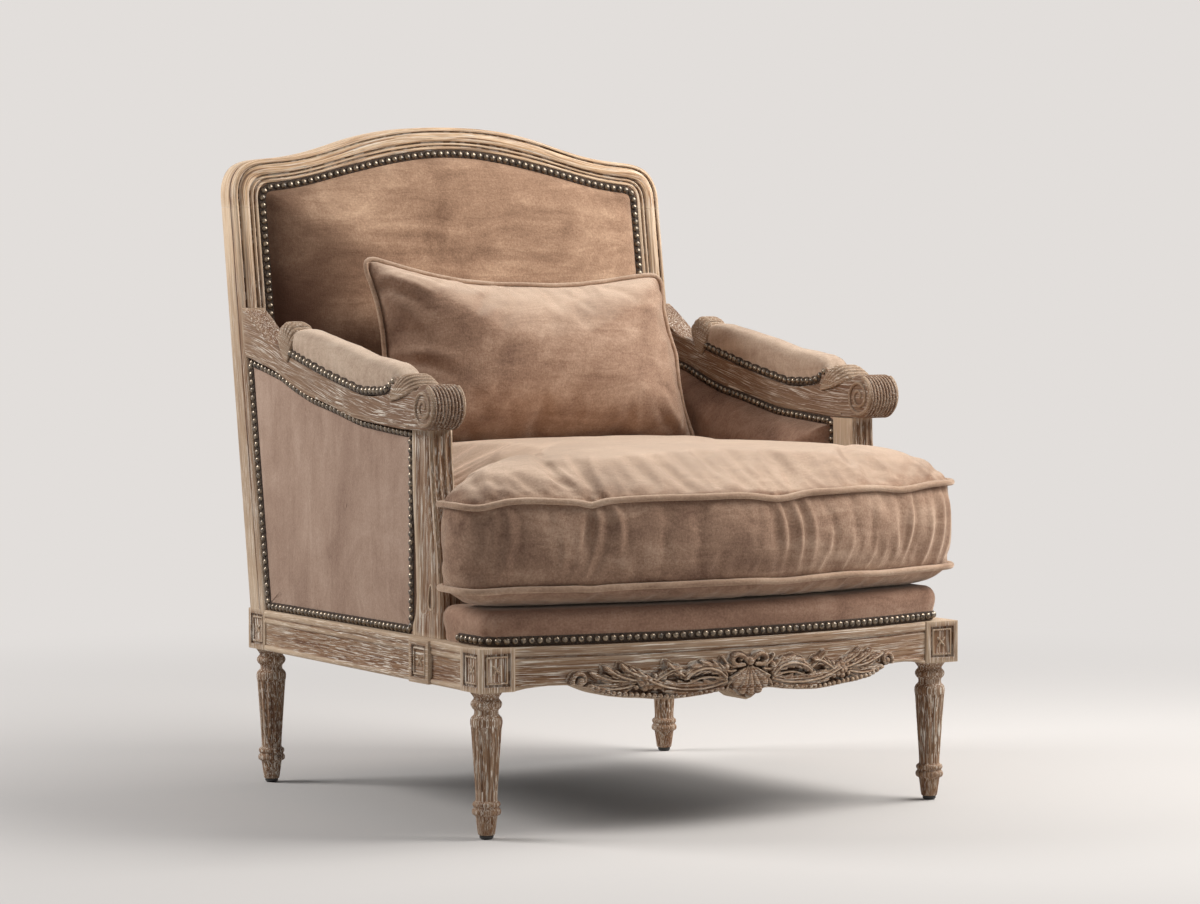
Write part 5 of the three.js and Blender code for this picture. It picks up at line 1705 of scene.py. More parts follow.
@dataclass
class SeatCushion:
    """The loose T-shaped seat cushion: boxed sides between two welts, and a full crown."""

    half: float = 400.0
    body_half: float = 271.0
    front: float = -84.0
    ear_back: float = 76.0
    back: float = 600.0
    floor: float = 306.6
    lower: float = 334.6
    upper: float = 452.6
    crown: float = 53.0
    sag: float = 28.0
    rear_drop: float = 10.0
    welt: float = 4.6
    pitch: float = 7.0
    flat: float = 6.0
    lower_hold: float = 4.2
    upper_hold: float = 5.0
    rim_hold: float = 9.0
    centre: Vector = field(default_factory=lambda: Vector((0, 244.0, 0)))
    pinches: Sequence[Pinch] = (
        Pinch(-0.59, 4.5, 0.035), Pinch(-0.59, 4.0, 0.15), Pinch(0.125, 7.5, 0.1), Pinch(0.7, 4.0, 0.1),
        Pinch(-0.97, 9.0, 0.07))
    folds: Sequence[Fold] = folded(
        (-229, 448, -252, 340, 5.5, 4.2), (-239, 448, -266, 365, 6, -3.2), (-219, 446, -240, 344, 6, -3.6),
        (-208, 450, -205, 385, 6, 3.8), (-196, 446, -192, 396, 6, -2), (-256, 410, -270, 342, 5, 2.4),
        (-282, 400, -284, 342, 6, 1.6), (42, 450, 48, 340, 6, 3.6), (53, 444, 60, 356, 5.5, -3.6),
        (69, 450, 75, 344, 5, 3.6), (80, 444, 86, 372, 5.5, -3.2), (92, 448, 98, 346, 5.5, 3),
        (134, 398, 112, 344, 5, 2.6), (146, 396, 126, 342, 5, -2), (296, 450, 276, 346, 5, 3.6),
        (304, 430, 288, 350, 5.5, -3), (262, 390, 254, 342, 5, 2), (334, 430, 322, 342, 5.5, 2.6),
        (346, 448, 340, 350, 6, -2.4), (360, 450, 352, 344, 5.5, 2.8), (378, 446, 372, 344, 5.5, 2.4),
        (-352, 448, -366, 344, 6, 2.6), (-340, 440, -350, 350, 6, -2), (-372, 446, -380, 372, 5, 2.4),
        (-360, 380, -352, 342, 5, 1.8), (-384, 440, -390, 350, 5, -1.8), (16, 386, -6, 342, 5, 1.5),
        (174, 390, 156, 342, 5, 1.8), (196, 384, 180, 342, 4.5, 1.8), (220, 388, 204, 342, 4.5, 1.9),
        (240, 382, 228, 342, 4.5, 1.6), (-60, 380, -78, 342, 5, 1.2), (-120, 376, -132, 342, 5, 1),
        (-300, 330, -276, 312, 6, 1.8), (-40, 332, -76, 310, 6, 1.8), (20, 332, -16, 310, 6, 1.9),
        (70, 332, 36, 310, 5.5, 2), (112, 332, 80, 310, 5.5, 2.2), (140, 332, 112, 310, 5, 2),
        (176, 332, 146, 310, 5.5, 2.2), (214, 332, 186, 310, 5.5, 1.8), (252, 332, 226, 312, 5.5, 1.6))
    top_folds: Sequence[Fold] = folded(
        (-238, -58, -252, 30, 6, 2.6), (-226, -58, -214, 42, 7, -3), (-214, -60, -190, 30, 7, 2.4),
        (-249, -50, -282, 8, 6, -2), (44, -80, 34, -18, 6, 1.8), (58, -80, 62, -10, 6, -2),
        (72, -80, 88, -16, 6, 1.6), (-300, -40, -330, 14, 8, -1.6), (280, -48, 268, 2, 6, 1.6),
        (352, -30, 330, 20, 6, 2), (366, -20, 350, 36, 6, -2.2), (382, -4, 366, 44, 5, 2.2),
        (-366, -20, -346, 40, 6, 2.2), (-378, -4, -362, 48, 6, -2.2), (-262, 120, -150, 300, 16, 3),
        (-236, 100, -110, 250, 18, -2.6), (-200, 60, 20, 110, 22, 2), (262, 120, 140, 280, 18, 2.6),
        (236, 90, 90, 200, 20, -2))
    stuffing: Stuffing = field(default_factory=lambda: Stuffing(
        voxel=0.0068, slack=0.035, cap=0.011, smooth=5))
    ears: Pairs = (
        (0, 0), (0.15, 0.012), (0.3, 0.045), (0.45, 0.1), (0.6, 0.175), (0.75, 0.265), (0.87, 0.345),
        (0.94, 0.405), (0.98, 0.475), (0.998, 0.57), (1, 0.72), (0.997, 0.87), (0.975, 0.965), (0.92, 1),
        (0.83, 1.005))
    body: Pairs = (
        (1.06, 0), (1.01, 0.025), (1, 0.09), (1, 0.28), (1, 0.48), (1, 0.68), (0.995, 0.85),
        (0.975, 0.94), (0.915, 0.985), (0.8, 1), (0.53, 1), (0.26, 1), (0, 1))

    def outline(self) -> list[Vector]:
        """The cushion's outline as x, y, 0, in even steps."""
        right = [Vector((w * self.half, self.front + (self.ear_back - self.front) * d, 0))
                 for w, d in self.ears]
        right += [Vector((w * self.body_half, self.ear_back + (self.back - self.ear_back) * d, 0))
                  for w, d in self.body]
        left = [Vector((-p.x, p.y, 0)) for p in reversed(right[1:-1])]
        return even_path(smooth_path(right + left, 5, closed=True), self.pitch, closed=True)

    def pinched(self, p: Vector) -> float:
        """How far the front's seam is pulled down at a point."""
        if p.y > self.ear_back:
            return 0.0
        return sum(k.depth * exp(-((p.x / self.half - k.share) / k.reach) ** 2) for k in self.pinches)

    def level(self, outline: Line, inward: float, z: float, pinched: float,
              dropped: float) -> list[Vector]:
        """One ring of the cushion in millimetres.

        Args:
            outline: The cushion's outline.
            inward: How far the ring is drawn in.
            z: Its height.
            pinched: How far it follows the front's pinches.
            dropped: How far it follows the fall towards the back.

        Returns:
            The ring's points.
        """
        near = min(inward, 9.0)
        keep = 1.0 - (inward - near) / self.body_half
        ring = []
        for p, q in zip(outline, drawn_in(outline, near)):
            r = self.centre + (q - self.centre) * keep
            pinch = self.pinched(p) * pinched
            t = min(max((r.y - self.back * 0.4) / (self.back * 0.6), 0.0), 1.0)
            wave = 1.6 * noise.noise(Vector((p.x * 0.013, p.y * 0.013, z * 0.01)))
            ring.append(Vector((r.x, r.y + pinch * 0.3,
                                z - pinch - t * t * (3 - 2 * t) * dropped * self.rear_drop + wave)))
        return ring

    def build(self) -> Piece:
        """Models the cushion and stuffs it."""
        outline = self.outline()
        boxing = self.upper - self.lower
        top = self.upper + self.crown
        rows = [(self.sag * 2, self.floor, 0, 0), (self.sag, self.floor + self.sag * 0.1, 0, 0),
                (self.sag * 0.4, self.floor + self.sag * 0.5, 0, 0), (0, self.lower, 0.3, 0)]
        for t in (0.06, 0.14, 0.24, 0.36, 0.5, 0.64, 0.76, 0.86, 0.94):
            rows.append((-4.6 * sin(pi * t) ** 0.6 + 1.2, self.lower + boxing * t,
                         0.3 + 0.7 * t, 0.5 * t))
        rows.append((0, self.upper, 1, 0.5))
        for keep, up in ((0.985, 0.14), (0.965, 0.27), (0.94, 0.4), (0.905, 0.53), (0.86, 0.65), (0.8, 0.75),
                         (0.72, 0.84), (0.62, 0.91), (0.5, 0.96), (0.36, 0.985), (0.2, 0.995), (0.06, 1.0)):
            rows.append(((1 - keep) * self.body_half, self.upper + (top - self.upper) * up * 0.97,
                         max(0.0, 1 - up * 1.4), min(1.0, 0.5 + up)))
        rings = [[spot(*q) for q in self.level(outline, *row)] for row in rows]
        cushion = Bench.loft("seat_cushion_soft", rings)
        self.stuffing.fill(cushion, self.held)
        crease(cushion, self.folds, lambda p: p[:, [0, 2]] / MM, self.on_boxing)
        origin = np.array([0.0, FRONT_LEG_Y / MM])
        crease(cushion, self.top_folds, lambda p: p[:, :2] / MM - origin, self.on_top)
        return cushion

    def on_boxing(self, places: np.ndarray, facing: np.ndarray) -> np.ndarray:
        """Where the boxing's folds show: on the front, between and under the seams."""
        y = (places[:, 1] - FRONT_LEG_Y) / MM
        return (1.0 - ease_in(y, 20.0, 60.0)) * ease_in(-facing[:, 1], 0.0, 0.3) * (1.0 - ease_in(
            facing[:, 2], 0.55, 0.8))

    def on_top(self, places: np.ndarray, facing: np.ndarray) -> np.ndarray:
        """Where the top's folds show: above the upper seam."""
        return ease_in(places[:, 2] / MM, self.upper, self.upper + 8.0) * ease_in(facing[:, 2], 0.15, 0.5)

    def held(self, place: Vector) -> float:
        """Holds the points along the two seams and on the flat underside."""
        z = place.z / MM
        drop = self.rear_drop * 0.5 if place.y / MM > 0 else 0.0
        if z < self.floor + self.flat:
            return 1.0
        if abs(z - self.lower) < self.lower_hold or (
                abs(z - self.upper + drop * 0.5) < self.upper_hold and self.near_rim(place)):
            return 1.0
        return 0.0

    def near_rim(self, place: Vector) -> bool:
        """Whether a point is close to the cushion's outline."""
        x, y = place.x / MM, (place.y - FRONT_LEG_Y) / MM
        return min((p.x - x) ** 2 + (p.y - y) ** 2 for p in self.rim) < self.rim_hold ** 2

    @cached_property
    def rim(self) -> list[Vector]:
        """The outline, kept for the search of the seam."""
        return self.outline()

    def build_welt(self, name: str, z: float, pinched: float, dropped: float) -> Piece:
        """Models one welt along a seam."""
        outline = self.outline()
        path = [spot(*q) for q in self.level(outline, -self.welt + 0.6, z, pinched, dropped)]
        wobble = [1.0 + 0.06 * noise.noise(p * 60.0) for p in path]
        return draw_tube(name, path, self.welt * MM, closed=True, thin=wobble, resolution=3)


@dataclass
class LumbarPillow:
    """The knife-edge pillow with its piping, slumped at its upper right corner."""

    length: float = 526.0
    height: float = 272.0
    front_depth: float = 80.0
    rear_depth: float = 108.6
    centre: tuple[float, float, float] = (18.0, 526.0, 622.7)
    turns: tuple[float, float, float] = (-11.3, 1.0, -3.5)
    corner_in: float = 34.0
    corner_down: float = 14.0
    piping: float = 3.6
    pitch: float = 5.0
    seam_depth: float = 6.0
    seam_hold: float = 7.0
    stuffing: Stuffing = field(default_factory=lambda: Stuffing(
        voxel=0.0052, slack=0.035, cap=0.009, smooth=4, ease=30, calm=9))
    seam: Pairs = (
        (0, 0.785), (0.2, 0.79), (0.4, 0.82), (0.58, 0.87), (0.74, 0.925), (0.87, 0.97), (0.95, 0.992),
        (0.99, 0.975), (0.995, 0.9), (0.975, 0.78), (0.95, 0.58), (0.935, 0.3))
    ear_up: float = 12.0
    belly: float = 24.0
    left_short: float = 0.955
    folds: Sequence[Fold] = folded(
        (-248, 122, -176, 84, 7, 4), (-246, 106, -186, 62, 7, -4), (-238, 132, -150, 104, 6, -3),
        (-240, 88, -196, 40, 7, 2.4), (-234, 4, -150, -14, 8, 3), (-236, -12, -160, -34, 8, -3),
        (-120, 112, -90, 84, 6, 1.6), (-60, 112, -44, 86, 6, 1.8), (-40, 113, -20, 84, 6, -1.8),
        (0, 112, 14, 78, 6, 1.6), (70, 112, 60, 80, 6, 2.2), (90, 114, 82, 84, 6, -2),
        (110, 116, 104, 80, 6, 2), (236, 100, 170, 60, 8, 2.6), (244, -118, 188, -70, 7, 3),
        (228, -124, 176, -86, 7, -2.6), (238, -60, 196, -50, 7, 2), (230, 20, 180, 6, 9, 1.8),
        (150, -110, 140, -70, 7, 1.6), (60, -108, 54, -76, 7, 1.2))
    crown: Sequence[float] = (0.995, 0.97, 0.93, 0.88, 0.81, 0.72, 0.62, 0.5, 0.36, 0.22, 0.08)
    fullness: float = 0.66

    @property
    def pose(self) -> Matrix:
        """The pillow's place on the cushion."""
        a, b, c = (radians(t) for t in self.turns)
        turn = Matrix.Rotation(a, 4, "X") @ Matrix.Rotation(b, 4, "Y") @ Matrix.Rotation(c, 4, "Z")
        return Matrix.Translation(spot(*self.centre)) @ turn

    def outline(self) -> list[Vector]:
        """The seam as x, z, 0 in millimetres, in even steps."""
        half = [Vector((x * self.length / 2, z * self.height / 2, 0)) for x, z in self.seam]
        half.append(Vector((half[-1].x, 0, 0)))
        right = half + [Vector((p.x, -p.y, 0)) for p in reversed(half[1:-1])]
        right.append(Vector((0, -half[0].y, 0)))
        loop = right + [Vector((-p.x, p.y, 0)) for p in reversed(right[1:-1])]
        sharp = even_path(loop, self.pitch, closed=True)
        drooped = []
        for p in sharp:
            across, up = p.x / (self.length / 2), max(p.y / (self.height / 2), 0.0)
            share = max(across, 0.0) * up
            under = max(1.0 - across * across, 0.0) ** 2 * self.belly if p.y < 0 else 0.0
            ear = (max(-across, 0.0) * up) ** 3 * self.ear_up
            near = 1.0 if p.x > 0 else self.left_short
            drooped.append(Vector((p.x * near - share * self.corner_in - ear * 0.4,
                                   p.y - share * self.corner_down + ear - under, 0)))
        return drooped

    def build(self) -> Piece:
        """Models the pillow lying in its own plane, stuffs it and sets it on the cushion."""
        seam = self.outline()
        pose = self.pose

        def level(keep: float, out: float) -> list[Vector]:
            """One ring of the pillow."""
            return [pose @ Vector((p.x * keep * MM, out * MM, p.y * keep * MM)) for p in seam]

        rise = [(keep, (1.0 - keep * keep) ** self.fullness) for keep in self.crown]
        rings = [level(keep, -out * self.front_depth) for keep, out in reversed(rise)]
        rings.append(level(1.0, 0.0))
        rings += [level(keep, out * self.rear_depth) for keep, out in rise]
        pillow = Bench.loft("lumbar_pillow_soft", rings)
        back = pose.inverted()

        def held(place: Vector) -> float:
            """Holds the points along the seam."""
            local = back @ place
            if abs(local.y) > self.seam_depth * MM:
                return 0.0
            x, z = local.x / MM, local.z / MM
            return 1.0 if min((p.x - x) ** 2 + (p.y - z) ** 2 for p in seam) < self.seam_hold ** 2 else 0.0

        self.stuffing.fill(pillow, held)
        turn = np.array(back)

        def local(places: np.ndarray) -> np.ndarray:
            """Places in the pillow's own plane, in millimetres."""
            return (places @ turn[:3, :3].T + turn[:3, 3]) / MM

        crease(pillow, self.folds, lambda p: local(p)[:, [0, 2]],
               lambda p, n: ease_in(-local(p)[:, 1], 2.0, 12.0))
        return pillow

    def build_piping(self) -> Piece:
        """Models the piping along the seam."""
        seam = even_path(drawn_in(self.outline(), -self.piping + 0.8), 9.0, closed=True)
        seam = smooth_path(seam, 3, closed=True)
        pose = self.pose
        path = [pose @ Vector((p.x * MM, 0.0, p.y * MM)) for p in seam]
        return draw_tube("pillow_piping_cord", path, self.piping * MM, closed=True, resolution=3)


@dataclass
class ApronCarving:
    """The carving on the front rail: a shell under a bow, leaves and a flower to both sides, and pearls.

    Places are x and z in millimetres on the right half, which is mirrored. Heights are above the
    rail's face.
    """

    seat: SeatFrame
    reach: float = 272.0
    top: float = 241.0
    columns: int = 620
    rows: int = 68
    ground: float = 5.0
    limit: float = 13.5
    relief: float = 1.25
    plate: float = 0.4
    hollow_reach: int = 22
    hollow_depth: float = 2.6
    hollow_rim: float = 1.8
    waver: float = 0.5
    chips: float = 0.22
    pearl: float = 4.0
    pearl_pitch: float = 8.6
    x: np.ndarray = field(default_factory=lambda: np.zeros(0))
    z: np.ndarray = field(default_factory=lambda: np.zeros(0))
    height: np.ndarray = field(default_factory=lambda: np.zeros(0))

    def lay_out(self) -> None:
        """Sets the grid over the rail's face."""
        across = np.linspace(-self.reach, self.reach, self.columns + 1)
        low = np.array([self.seat.apron_low(x) + 0.9 for x in across])
        share = np.linspace(0.0, 1.0, self.rows + 1)
        self.x = np.abs(np.broadcast_to(across, (self.rows + 1, self.columns + 1)).copy())
        self.z = low[None, :] + share[:, None] * (self.top - low[None, :])
        self.height = np.full(self.x.shape, -self.ground)

    def raise_to(self, height: np.ndarray, inside: np.ndarray) -> None:
        """Raises the carving to a height where a shape covers it."""
        self.height = np.where(inside, np.maximum(self.height, height), self.height)

    def along(self, spine: Pairs) -> tuple[np.ndarray, np.ndarray]:
        """The share of a smooth spine where each point lies, and how far to its side, in millimetres."""
        line = [Vector((a, b, 0)) for a, b in spine]
        path = even_path(smooth_path(line, 6), 2.5)
        total = len(path) - 1
        best = np.full(self.x.shape, 1e9)
        share = np.zeros(self.x.shape)
        side = np.zeros(self.x.shape)
        for i, (a, b) in enumerate(zip(path, path[1:])):
            run = b - a
            size = run.x ** 2 + run.y ** 2
            t = ((self.x - a.x) * run.x + (self.z - a.y) * run.y) / size
            held = np.clip(t, 0.0, 1.0)
            dx, dz = self.x - a.x - held * run.x, self.z - a.y - held * run.y
            far = np.hypot(dx, dz)
            closer = far < best
            best = np.where(closer, far, best)
            share = np.where(closer, (i + held) / total, share)
            side = np.where(closer, np.sign(run.x * dz - run.y * dx) * far, side)
        return share, side

    def leaf(self, spine: Pairs, half: float, high: float, lobes: int,
             base: float = 0.0, tip: float = 1.5, bias: float = 0.0) -> None:
        """Carves a lobed acanthus leaf.

        Args:
            spine: Its middle rib.
            half: Its half width.
            high: How high it stands.
            lobes: How many lobes each side has.
            base: The height of what it lies on.
            tip: How much its tip curls out.
            bias: How much wider its upper side is.
        """
        t, d = self.along(spine)
        tooth = np.mod(lobes * t + 0.15, 1.0)
        wide = half * np.sin(np.pi * (0.16 + 0.8 * t)) ** 0.7 * (0.66 + 0.34 * tooth ** 0.6)
        wide = wide * (1.0 + bias * np.sign(d))
        u = np.abs(d) / np.maximum(wide, 0.3)
        crown = np.sqrt(np.clip(1.0 - u ** 2.4, 0.0, 1.0))
        height = base + high * (0.35 + 0.65 * crown) + tip * t ** 2
        height += 1.1 * np.exp(-(d / 1.2) ** 2) - 1.5 * np.exp(-((np.abs(d) - 2.3) / 0.9) ** 2)
        height += 1.0 * np.cos(tau * (lobes * t - 0.9 * u + 0.15)) * np.clip(u, 0, 1) * (0.4 + 0.6 * u)
        self.raise_to(height, (u < 1.0) & (t > 0.0) & (t < 1.0))

    def cord(self, spine: Pairs, thick: float, base: float, thin: float = 1.0) -> None:
        """Carves a rounded strand that may thin towards its end."""
        t, d = self.along(spine)
        radius = thick * (1.0 - (1.0 - thin) * t)
        inside = np.abs(d) < radius
        self.raise_to(base + np.sqrt(np.clip(radius ** 2 - d ** 2, 0.0, None)), inside)

    def bead(self, x: float, z: float, radius: float, base: float) -> None:
        """Carves a pearl."""
        far = np.hypot(self.x - x, self.z - z)
        self.raise_to(base + np.sqrt(np.clip(radius ** 2 - far ** 2, 0.0, None)), far < radius)

    def flower(self, x: float, z: float, radius: float, petals: int, base: float) -> None:
        """Carves an open flower with a round eye."""
        far = np.hypot(self.x - x, self.z - z)
        turn = np.arctan2(self.z - z, self.x - x)
        wave = np.abs(np.cos(turn * petals / 2))
        edge = radius * (0.62 + 0.38 * wave ** 0.5)
        u = far / edge
        height = base + 2.6 * np.sin(np.pi * np.clip(u, 0, 1) * 0.82) * (0.55 + 0.45 * wave) + 0.6 * wave
        self.raise_to(height, u < 1.0)
        self.bead(x, z, radius * 0.3, base + 1.2)

    def shell(self, x: float, z: float, inner: float, outer: float, spread: float, ribs: int) -> None:
        """Carves the ribbed shell that opens downwards."""
        far = np.hypot(self.x - x, self.z - z)
        turn = np.arctan2(self.x - x, z - self.z)
        share = turn / spread * ribs
        rib = np.abs(np.cos(np.pi * share / 2))
        edge = outer * (0.93 + 0.07 * rib) * (1.0 - 0.16 * (turn / spread) ** 2)
        t = np.clip((far - inner) / (outer - inner), 0.0, 1.0)
        height = 3.0 + 4.6 * np.sin(np.pi * (0.25 + 0.62 * t)) + 2.7 * rib ** 0.8 * (0.35 + 0.65 * t)
        self.raise_to(height, (far < edge) & (far > inner * 0.3) & (np.abs(turn) < spread))

    def spiral(self, x: float, z: float, radius: float, turns: float, start: float) -> Pairs:
        """The spine of a scroll that winds in."""
        points = []
        for i in range(25):
            t = i / 24
            angle = start + t * turns * tau
            r = radius * (1 - t) ** 0.85 + 1.6
            points.append((x + r * cos(angle), z + r * sin(angle)))
        return points

    def draw(self) -> None:
        """Carves every form, from the lowest to the highest."""
        low = self.seat.apron_low
        self.cord([(x, low(x) + 4) for x in (46, 90, 135, 180, 214)] + [(236, low(236) + 5)], 4.2, -1.5)
        place = 44.0
        while place < 238.0:
            self.bead(place, low(place) + 4.9, self.pearl, 3.0 + 0.5 * sin(place * 1.7))
            place += self.pearl_pitch * (1.0 - 0.12 * (place > 200))
        self.leaf([(176, 201), (196, 197), (216, 197), (238, 203)], 8.5, 3.6, 3, 0.4)
        self.leaf([(150, 205), (172, 214), (188, 222), (197, 231)], 7.5, 4.4, 4, 0.6, 2.4)
        self.leaf([(168, 206), (190, 211), (208, 219), (220, 228)], 7.0, 4.2, 4, 1.0, 2.4)
        self.leaf([(190, 207), (210, 209), (228, 215), (240, 221)], 6.0, 3.8, 3, 1.0, 2.0)
        self.leaf([(36, 200), (64, 193), (100, 192), (132, 197), (158, 207)], 12.5, 4.8, 6, 1.2, 2.2, 0.1)
        self.leaf([(150, 203), (136, 212), (122, 219), (108, 221)], 7.0, 4.4, 4, 2.0, 2.2)
        self.leaf([(96, 206), (110, 214), (124, 224), (131, 231)], 6.0, 4.6, 3, 2.0, 2.6)
        self.leaf([(38, 204), (52, 215), (72, 219), (92, 214), (104, 205)], 9.5, 5.4, 5, 2.4, 2.0, 0.15)
        self.cord([(38, 201), (56, 206), (76, 206), (94, 201), (108, 198)], 2.0, 5.2, 0.6)
        self.cord(self.spiral(252, 210, 12.5, 1.35, pi * 1.2), 3.5, 2.6, 0.75)
        self.bead(252, 210, 4.2, 3.2)
        self.cord([(214, 203), (228, 201), (240, 198.6), (250, 198)], 3.0, 1.6, 1.0)
        self.flower(160, 203, 11.5, 5, 4.4)
        for x, z, r in ((147, 196, 3.6), (174, 198, 3.4), (171, 211, 3.2), (146, 213, 3.0), (186, 215, 2.8)):
            self.bead(x, z, r, 3.6)
        self.shell(0, 221, 9.0, 43.5, 1.12, 6)
        self.cord([(10, 214), (22, 207), (33, 197), (37, 188), (33, 183)], 3.2, 4.2, 0.6)
        self.cord([(4, 226), (12, 233), (22, 234), (28, 228), (22, 221), (10, 221)], 3.4, 5.0, 0.9)
        self.cord([(14, 222), (26, 219), (36, 224), (42, 232)], 2.9, 3.8, 0.5)
        self.leaf([(22, 214), (32, 213), (42, 217), (50, 225)], 5.0, 3.8, 3, 2.0, 2.0)
        self.bead(38, 219, 4.4, 4.4)
        self.bead(0, 225, 6.0, 4.6)
        self.bead(14, 228, 2.6, 4.4)

    def eased(self, height: np.ndarray, times: int) -> np.ndarray:
        """Spreads each height over its neighbours a number of times."""
        for _ in range(times):
            wide = np.pad(height, 1, mode="edge")
            height = (wide[:-2, 1:-1] + wide[2:, 1:-1] + wide[1:-1, :-2] + wide[1:-1, 2:] + height) / 5
        return height

    def build(self) -> Piece:
        """Carves the whole strip as one closed piece that is let into the rail."""
        self.lay_out()
        self.draw()
        shown = np.clip(self.height * self.relief, self.plate, self.limit)
        # cut: how far each point lies below its surroundings; the oak paints it darker, as dark wax and
        # painted shade.
        around = self.eased(shown, self.hollow_reach)
        cut = np.clip((around - shown) / self.hollow_depth, 0.0, 1.0)
        carved = (self.height > 0.0) | (around > self.plate * self.hollow_rim)
        self.height = np.where(carved, shown, self.height)
        Bench.clear()
        bpy.ops.mesh.primitive_grid_add(x_subdivisions=self.columns, y_subdivisions=self.rows, size=2.0)
        piece = Bench.take("apron_carving_relief")
        layer = piece.data.attributes.new(Grain.HOLLOW_SHADE, "FLOAT", "POINT")
        for vertex in piece.data.vertices:
            column = int(round((vertex.co.x + 1.0) / 2.0 * self.columns))
            row = int(round((vertex.co.y + 1.0) / 2.0 * self.rows))
            x = -self.reach + 2 * self.reach * column / self.columns
            z = float(self.z[row, column])
            raised = float(self.height[row, column])
            layer.data[vertex.index].value = float(cut[row, column])
            if raised > 0.1 - self.ground:
                raised += self.waver * noise.noise(Vector((x * 0.22, z * 0.22, 3.0)))
                raised += self.chips * noise.noise(Vector((x * 0.9, z * 0.9, 8.0)))
            if row in (0, self.rows) or column in (0, self.columns):
                raised = -self.ground
            vertex.co = spot(x, PLAN.front_face(x) - raised, z)
        Bench.pick(piece)
        bpy.ops.object.mode_set(mode="EDIT")
        Bench.choose(piece, "EDGE", Bench.at_rim)
        bpy.ops.mesh.extrude_edges_move(TRANSFORM_OT_translate={"value": (0.0, 4.0 * MM, 0.0)})
        bpy.ops.mesh.edge_face_add()
        Bench.close()
        Bench.modify(piece, "SMOOTH", factor=0.4, iterations=1)
        return piece


@dataclass
class WoodFrame:
    """All the show wood: legs, blocks, rails, posts, arms and the back frame."""

    finishes: Finishes
    rosette: Rosette = field(default_factory=Rosette)
    leg: TurnedLeg = field(default_factory=TurnedLeg)
    moulding: FrameMoulding = field(default_factory=FrameMoulding)
    seat: SeatFrame = field(default_factory=SeatFrame)
    crest_line: list[Vector] = field(default_factory=list)
    crest_run: list[float] = field(default_factory=lambda: [0.0])

    def oak(self, piece: Piece, axis: Axis, node: str, flow: Optional[Callable] = None,
            angle: float = 38.0) -> None:
        """Dresses an oak piece that stands for one CAD node.

        Args:
            piece: The piece.
            axis: The way that its grain runs.
            node: The CAD node.
            flow: Unbends a place, for grain that follows a curve.
            angle: Edges sharper than this stay sharp, in degrees.
        """
        Grain.lay(piece, axis, flow)
        # The arm rails take the darker copy of the oak, painted shade.
        wood = self.finishes.shaded_arm_oak if node.endswith("arm_rail") else self.finishes.oak
        Bench.finish(piece, wood, "oak", "frame", [node], angle)

    def draw_edge(self) -> None:
        """Draws the back frame's outer edge, down both stiles, for its grain to follow."""
        outer, _ = self.moulding.crest_lines()
        low = Vector((0, 0, outer[0].z))
        self.crest_line = [p * MM for p in (outer[0] - low, *outer, outer[-1] - low)]
        for p, q in zip(self.crest_line, self.crest_line[1:]):
            self.crest_run.append(self.crest_run[-1] + (q - p).length)

    def along_arm(self, place: Vector) -> Vector:
        """Unbends a place on an arm, whose grain follows its lower edge."""
        y = (place.y - FRONT_LEG_Y) / MM
        return Vector((place.x, place.y, place.z - PLAN.arm_low(y) * MM))

    def along_crest(self, place: Vector) -> Vector:
        """Unbends a place on the crest rail, whose grain follows its edge."""
        line = self.crest_line
        flat = Vector((place.x, 0, place.z))
        near = min(range(1, len(line) - 1), key=lambda i: (line[i] - flat).length_squared)
        ahead = (line[near + 1] - line[near - 1]).normalized()
        if place.z < line[1].z:
            near = 1 if place.x < 0 else len(line) - 2
            ahead = Vector((0, 0, 1.0 if place.x < 0 else -1.0))
        off = flat - line[near]
        along, across = self.crest_run[near] + off.dot(ahead), off.cross(ahead).y
        return Vector((along, place.y - place.z * PLAN.lean, across))

    def along_front(self, place: Vector) -> Vector:
        """Unbends a place on the bowed front rail."""
        return Vector((place.x, place.y - PLAN.front_face(place.x / MM) * MM, place.z))

    def corner(self, name: str, x: float, y: float, side: int, face: int) -> list[Piece]:
        """The parts of one corner block."""
        low = spot(x - PLAN.block_width / 2, y - PLAN.block_depth / 2, PLAN.rail_bottom)
        high = spot(x + PLAN.block_width / 2, y + PLAN.block_depth / 2, PLAN.rail_top)
        faces = [Vector((side, 0, 0)), Vector((0, face, 0))]
        return CornerBlock().build(name, low, high, faces, self.rosette)

    def build(self) -> None:
        """Builds and dresses the wood."""
        self.rosette.build()
        self.draw_edge()
        for label, side in SIDES:
            name = f"front_{label}_leg"
            leg = self.leg.build(name, side * PLAN.half_front, 0.0)
            parts = self.corner(name, side * PLAN.half_front, PLAN.front_block_y, side, -1)
            self.oak(Bench.join(f"{name}_turned", [leg, *parts]), Axis.Z, name)
            name = f"back_{label}_post"
            leg = self.leg.build(name, side * PLAN.half_back, PLAN.leg_depth)
            parts = self.corner(name, side * PLAN.half_back, PLAN.back_block_y, side, 1)
            stile = self.moulding.build_stile(name, side)
            self.oak(Bench.join(f"{name}_moulded", [leg, *parts, stile]), Axis.X, name, self.along_crest)
            name = f"{label}_side_rail"
            self.oak(self.seat.build_side(f"{name}_moulded", side, self.rosette), Axis.Y, name)
            name = f"{label}_arm_post"
            self.oak(ArmPost(side).build(f"{name}_fluted"), Axis.Z, name)
            name = f"{label}_arm_rail"
            self.oak(ShowArm(side).build(f"{name}_carved"), Axis.Y, name, self.along_arm)
        self.oak(self.moulding.build_crest(), Axis.X, "crest_rail", self.along_crest)
        self.oak(self.seat.build_front(), Axis.X, "front_rail", self.along_front)
        self.oak(ApronCarving(self.seat).build(), Axis.X, "apron_carving", self.along_front)
        self.rosette.remove()


